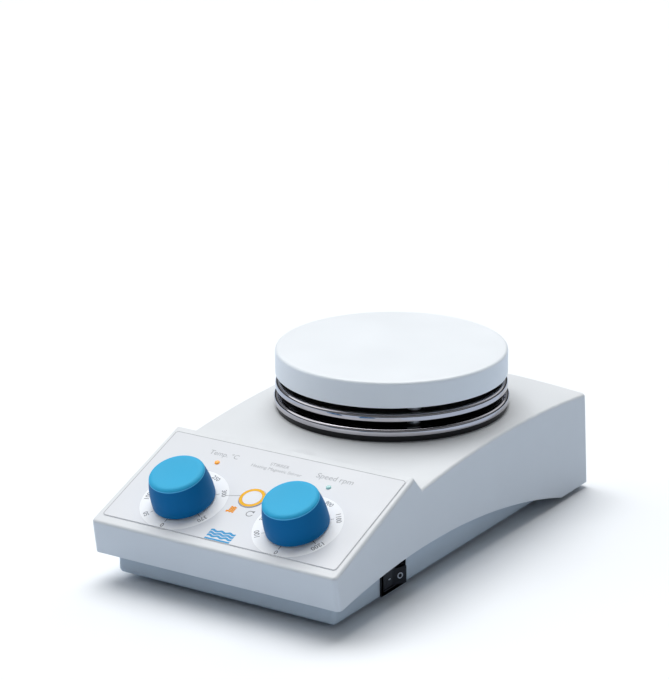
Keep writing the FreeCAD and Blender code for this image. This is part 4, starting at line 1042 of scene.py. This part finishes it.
def add_hot_plate():
    """Enamelled plate: flat top, rounded edge, upright rim and a hollow below for the heater."""
    low, high = (corner.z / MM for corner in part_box("hot_plate"))
    wall = 4.0
    ceiling = 94.1
    outline = [(0, ceiling, 0), (PLATE_RADIUS - wall, ceiling, 1.0), (PLATE_RADIUS - wall, low, 0.8),
               (PLATE_RADIUS, low, 1.0), (PLATE_RADIUS, high, PLATE_EDGE),
               (PLATE_RADIUS - PLATE_EDGE - FLAT_RING, high, 0), (0, high, 0)]
    add_piece("hot_plate_enamel", around_plate(rounded_path(outline, steps=8)), HOUSING,
              "plate_white", nodes=("hot_plate",), sharp=40)


def add_shields():
    """Two polished pans with a broad rolled shoulder, one above the other under the plate."""
    for node in ("upper_shield", "lower_shield"):
        low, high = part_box(node)
        outer = (high.x - low.x) / 2 / MM
        top, bottom = high.z / MM, low.z / MM
        sheet, bend = 0.8, 2.5
        outline = [(0, top - sheet, 0), (outer - sheet, top - sheet, bend - sheet),
                   (outer - sheet, bottom, 0.3), (outer, bottom, 0.35), (outer, top, bend),
                   (outer - bend - FLAT_RING, top, 0), (0, top, 0)]
        add_piece(node + "_pan", around_plate(rounded_path(outline, steps=8)), HOUSING,
                  "shield_chrome", nodes=(node,), sharp=45)


# ---------------------------------------------------------------- mains switch

ROCKER_AXIS = Vector(JOINTS["mains_rock"]["pos_m"])
BEZEL = (73.0, 74.2, -83.0, -58.0, 5.0, 19.6)


def side_frame(x, y, z):
    """A frame on the switch side: across is +Y, up is +Z and outwards is +X, in mm."""
    return matrix_of((x * MM, y * MM, z * MM), (0, 1, 0), (1, 0, 0))


def add_mains_switch():
    """Rocker switch: bezel with a raised frame, and the rocker with its two marks."""
    inner, outer, front, back, low, high = BEZEL
    middle_y, middle_z = (front + back) / 2, (low + high) / 2
    place = side_frame(0, middle_y, middle_z)
    bezel = slab(rectangle(back - front, high - low, 1.2), inner, outer, place, 0.4,
                 (rectangle(21.0, 10.4, 0.7),))
    add_piece("switch_bezel", bezel, HOUSING, "black_plastic", sharp=40)
    add_piece("switch_rocker_cap", rocker_shape(), "mains_rocker", "rocker_black",
              nodes=("switch_rocker",), sharp=34)
    add_rocker_marks()


ROCKER_REST = math.radians(-12)
ROCKER_HEIGHT = 9.6
ROCKER_DIP = 1.6
ROCKER_END = 3.62
ROCKER_REACH = 9.5


def rocker_frame():
    """The rocker's own frame at rest: x outwards, y along it, z up, turned to its pressed side."""
    return Matrix.Translation(ROCKER_AXIS) @ Matrix.Rotation(ROCKER_REST, 4, "Z")


def rocker_shape():
    """A rocker with a shallow V face and rounded ends."""
    outline = [(ROCKER_DIP, 0.0, 6.0), (ROCKER_END, ROCKER_REACH, 0.5), (-1.0, 9.3, 0.6),
               (-5.0, 5.0, 1.0), (-5.0, -5.0, 1.0), (-1.0, -9.3, 0.6), (ROCKER_END, -ROCKER_REACH, 0.5)]
    half = ROCKER_HEIGHT / 2
    return slab(rounded_path(outline, True, 5), -half, half, rocker_frame(), 0.35)


def add_rocker_marks():
    """The usual line and circle on the rocker's two faces."""
    lean = math.atan2(ROCKER_END - ROCKER_DIP, ROCKER_REACH)
    low, high = -0.02, 0.05
    faces = []
    for sign, along in ((-1, 3.0), (1, 5.0)):
        spot = shift_mm(ROCKER_DIP + along * math.tan(lean), sign * along, 0)
        faces.append(rocker_frame() @ spot @ Matrix.Rotation(-sign * lean, 4, "Z")
                     @ matrix_of((0, 0, 0), (0, 1, 0), (1, 0, 0)))
    marks = merge(slab(rectangle(2.2, 0.7, 0.2), low, high, faces[0]),
                  ring_shape(1.8, 1.15, low, high, faces[1], 48))
    add_piece("switch_marks", marks, "mains_rocker", "mark_grey")


# ---------------------------------------------------------------- underside

def add_feet():
    """Rubber feet with ringed treads, standing on the bench."""
    low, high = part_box("rubber_feet")
    radius = 9.0
    profile = [(0, 0.4), (3.0, 0.4), (3.3, 0), (5.2, 0), (5.5, 0.4), (6.1, 0.4), (6.4, 0), (8.4, 0),
               (8.85, 0.2), (radius, 0.6), (radius, 3.0), (8.85, 3.35), (8.5, 3.5), (0, 3.5)]
    feet = [lathe(profile, shift_mm(x, y, 0), 64)
            for x in (low.x / MM + radius, high.x / MM - radius)
            for y in (low.y / MM + radius, high.y / MM - radius)]
    add_piece("feet_treads", merge(*feet), HOUSING, "foot_rubber", nodes=("rubber_feet",), sharp=40)


def add_screw_heads():
    """Cross-recessed heads of the base screws and of the inlet's screws."""
    low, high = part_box("base_screws")
    radius, height = 3.0, 1.5
    centre = Matrix.Translation((0, 0, low.z + height * MM)) @ Matrix.Rotation(math.pi, 4, "X")
    heads = SCREW_HEADS.make("steel", centre, Head_Radius=radius * MM, Head_Height=height * MM,
                             Span_X=high.x - low.x - 2 * radius * MM,
                             Span_Y=high.y - low.y - 2 * radius * MM, Rows=2)
    add_piece("base_screw_heads", heads, HOUSING, "steel", nodes=("base_screws",), sharp=35)
    heads = SCREW_HEADS.make("steel", on_rear(INLET_X, FLANGE_FACE), Head_Radius=2.7 * MM,
                             Head_Height=0.45 * MM, Span_X=SCREW_SPAN * MM, Span_Y=0.0, Rows=1)
    add_piece("inlet_screw_heads", heads, HOUSING, "steel", nodes=("inlet_screws",), sharp=35)


# ---------------------------------------------------------------- rear fittings

MOUNTS = {mount["name"]: mount for mount in frame["record"]["mounts"]}
REAR_OUT = Vector(MOUNTS["mains_inlet"]["axis"]).normalized()
INLET_X = 36.0
FUSE_X = -6.0
PROBE_X = -42.0
SCREW_SPAN = 40.0
FLANGE_FACE = -0.2
RECESS_FACE = -2.2
PIN_ROOT = -16.7


def on_rear(across, out):
    """A frame on the rear wall: z points outwards, y up and x towards -X; places in mm."""
    place = matrix_of(Vector(MOUNTS["mains_inlet"]["pos_m"]), (-1, 0, 0), REAR_OUT)
    return place @ shift_mm(INLET_X - across, 0, out - FLANGE_FACE)


def add_power_inlet():
    """Appliance inlet: flange with two screw holes, keyed cavity with its walls, three flat pins."""
    cavity = [(-12.1, -8.4, 1.0), (12.1, -8.4, 1.0), (12.1, 4.2, 0.6), (7.8, 8.4, 0.6), (-7.8, 8.4, 0.6),
              (-12.1, 4.2, 0.6)]
    cavity = rounded_path(cavity, True, 4)
    screw_holes = [circle(1.6, 24, (side * SCREW_SPAN / 2, 0)) for side in (-1, 1)]
    place = on_rear(INLET_X, 0)
    flange = slab(rectangle(50, 22.6, 2.5), RECESS_FACE, FLANGE_FACE, place, 0.35,
                  [cavity, *screw_holes])
    box = rectangle(27.2, 19.8, 1.5)
    walls = slab(box, PIN_ROOT, RECESS_FACE, place, holes=[cavity])
    floor = slab(box, -22.0, PIN_ROOT, place)
    add_piece("inlet_shell", merge(flange, walls, floor), HOUSING, "black_plastic",
              nodes=("power_inlet",), sharp=35)
    pins = [slab(rectangle(2.0, 4.0, 0.5, spot), PIN_ROOT, -4.0, place, 0.4)
            for spot in ((-7, -2), (0, 2), (7, -2))]
    add_piece("inlet_pin_blades", merge(*pins), HOUSING, "brass", nodes=("inlet_pins",), sharp=40)


def add_fuse_holder():
    """Round fuse cap with a driver slot and a milled edge, in a bevelled collar."""
    place = on_rear(FUSE_X, 0)
    collar = [(0, -8.0), (7.2, -8.0), (7.2, -2.2), (8.5, -2.2), (8.5, -1.35), (8.3, -1.1), (8.0, -1.0),
              (6.3, -1.0), (6.3, -1.4), (0, -1.4)]
    radius, count = 5.7, 30
    cap = slab(circle(radius, 72), -1.4, 0.0, place, 0.25, [rectangle(8.0, 2.0, 0.4)])
    teeth = SCALE_MARKS.make("black_plastic", on_rear(FUSE_X, -0.75), Count=count, Radius=radius * MM,
                             Length=0.5 * MM, Width=0.6 * MM, Thickness=1.1 * MM, Start=0.0,
                             Sweep=2 * math.pi * (count - 1) / count)
    add_piece("fuse_cap", merge(lathe(collar, place, 72), cap, teeth), HOUSING, "black_plastic",
              nodes=("fuse_holder",), sharp=35)


def add_probe_socket():
    """Round socket: bevelled flange, keyed well and five contacts on an arc."""
    place = on_rear(PROBE_X, 0)
    profile = [(0, -15.0), (7.6, -15.0), (7.6, -2.2), (10.0, -2.2), (10.0, -0.95), (9.75, -0.7),
               (9.4, -0.6), (6.7, -0.6), (6.35, -0.75), (6.2, -1.1), (6.2, -8.0), (0, -8.0)]
    key = slab(rectangle(1.6, 1.2, 0.2, (0, -5.7)), -8.0, -2.0, place)
    add_piece("probe_shell", merge(lathe(profile, place, 80), key), HOUSING, "black_plastic",
              nodes=("probe_socket",), sharp=35)
    pin = [(0, -8.0), (0.55, -8.0), (0.55, -4.0), (0.4, -3.6), (0, -3.5)]
    contacts, reach = [], 3.3
    for index in range(5):
        angle = math.radians(-30 + 60 * index)
        spot = place @ shift_mm(reach * math.cos(angle), reach * math.sin(angle), 0)
        contacts.append(lathe(pin, spot, 16))
    add_piece("probe_contacts", merge(*contacts), HOUSING, "brass", sharp=40)


def add_rod_socket():
    """Threaded steel bush for a support rod, with a countersunk mouth and its thread ridges."""
    low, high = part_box("rod_socket")
    middle = (low + high) / 2
    top, bottom = high.z / MM, low.z / MM
    bore, depth = 4.6, 19.5
    profile = [(0, bottom), (8.0, bottom), (8.0, top - 0.5), (7.85, top - 0.15), (7.5, top), (5.4, top),
               (bore, top - 0.8), (bore, top - depth), (0, top - depth)]
    place = Matrix.Translation((middle.x, middle.y, 0))
    ridges = RIDGE_RINGS.make("steel", place @ shift_mm(0, 0, top - depth + 1.0), Count=12,
                              Radius=bore * MM, Rib=0.38 * MM, Pitch=1.5 * MM)
    add_piece("rod_bush", merge(lathe(profile, place, 72), ridges), HOUSING, "satin_steel",
              nodes=("rod_socket",), sharp=35)


# ---------------------------------------------------------------- everything else

OWN_FINISH = {"upper_spacers": "satin_steel", "middle_spacers": "satin_steel",
              "lower_spacers": "satin_steel"}


def add_plain_skins():
    """The moulded shells keep their own shape, shaded smooth."""
    for node in ("upper_housing", "base_tray", "plate_collar"):
        smoothed_copy(node)


def finish_other_nodes():
    """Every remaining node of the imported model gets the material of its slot."""
    for node, item in frame["nodes"].items():
        item.data.materials.clear()
        item.data.materials.append(MATERIALS[OWN_FINISH.get(node, NODE_SLOTS[node])])


add_camera()
add_studio()
add_plain_skins()
add_dials()
add_signs()
add_knobs()
add_mode_key()
add_lamps()
add_hot_plate()
add_shields()
add_mains_switch()
add_feet()
add_screw_heads()
add_power_inlet()
add_fuse_holder()
add_probe_socket()
add_rod_socket()
finish_other_nodes()
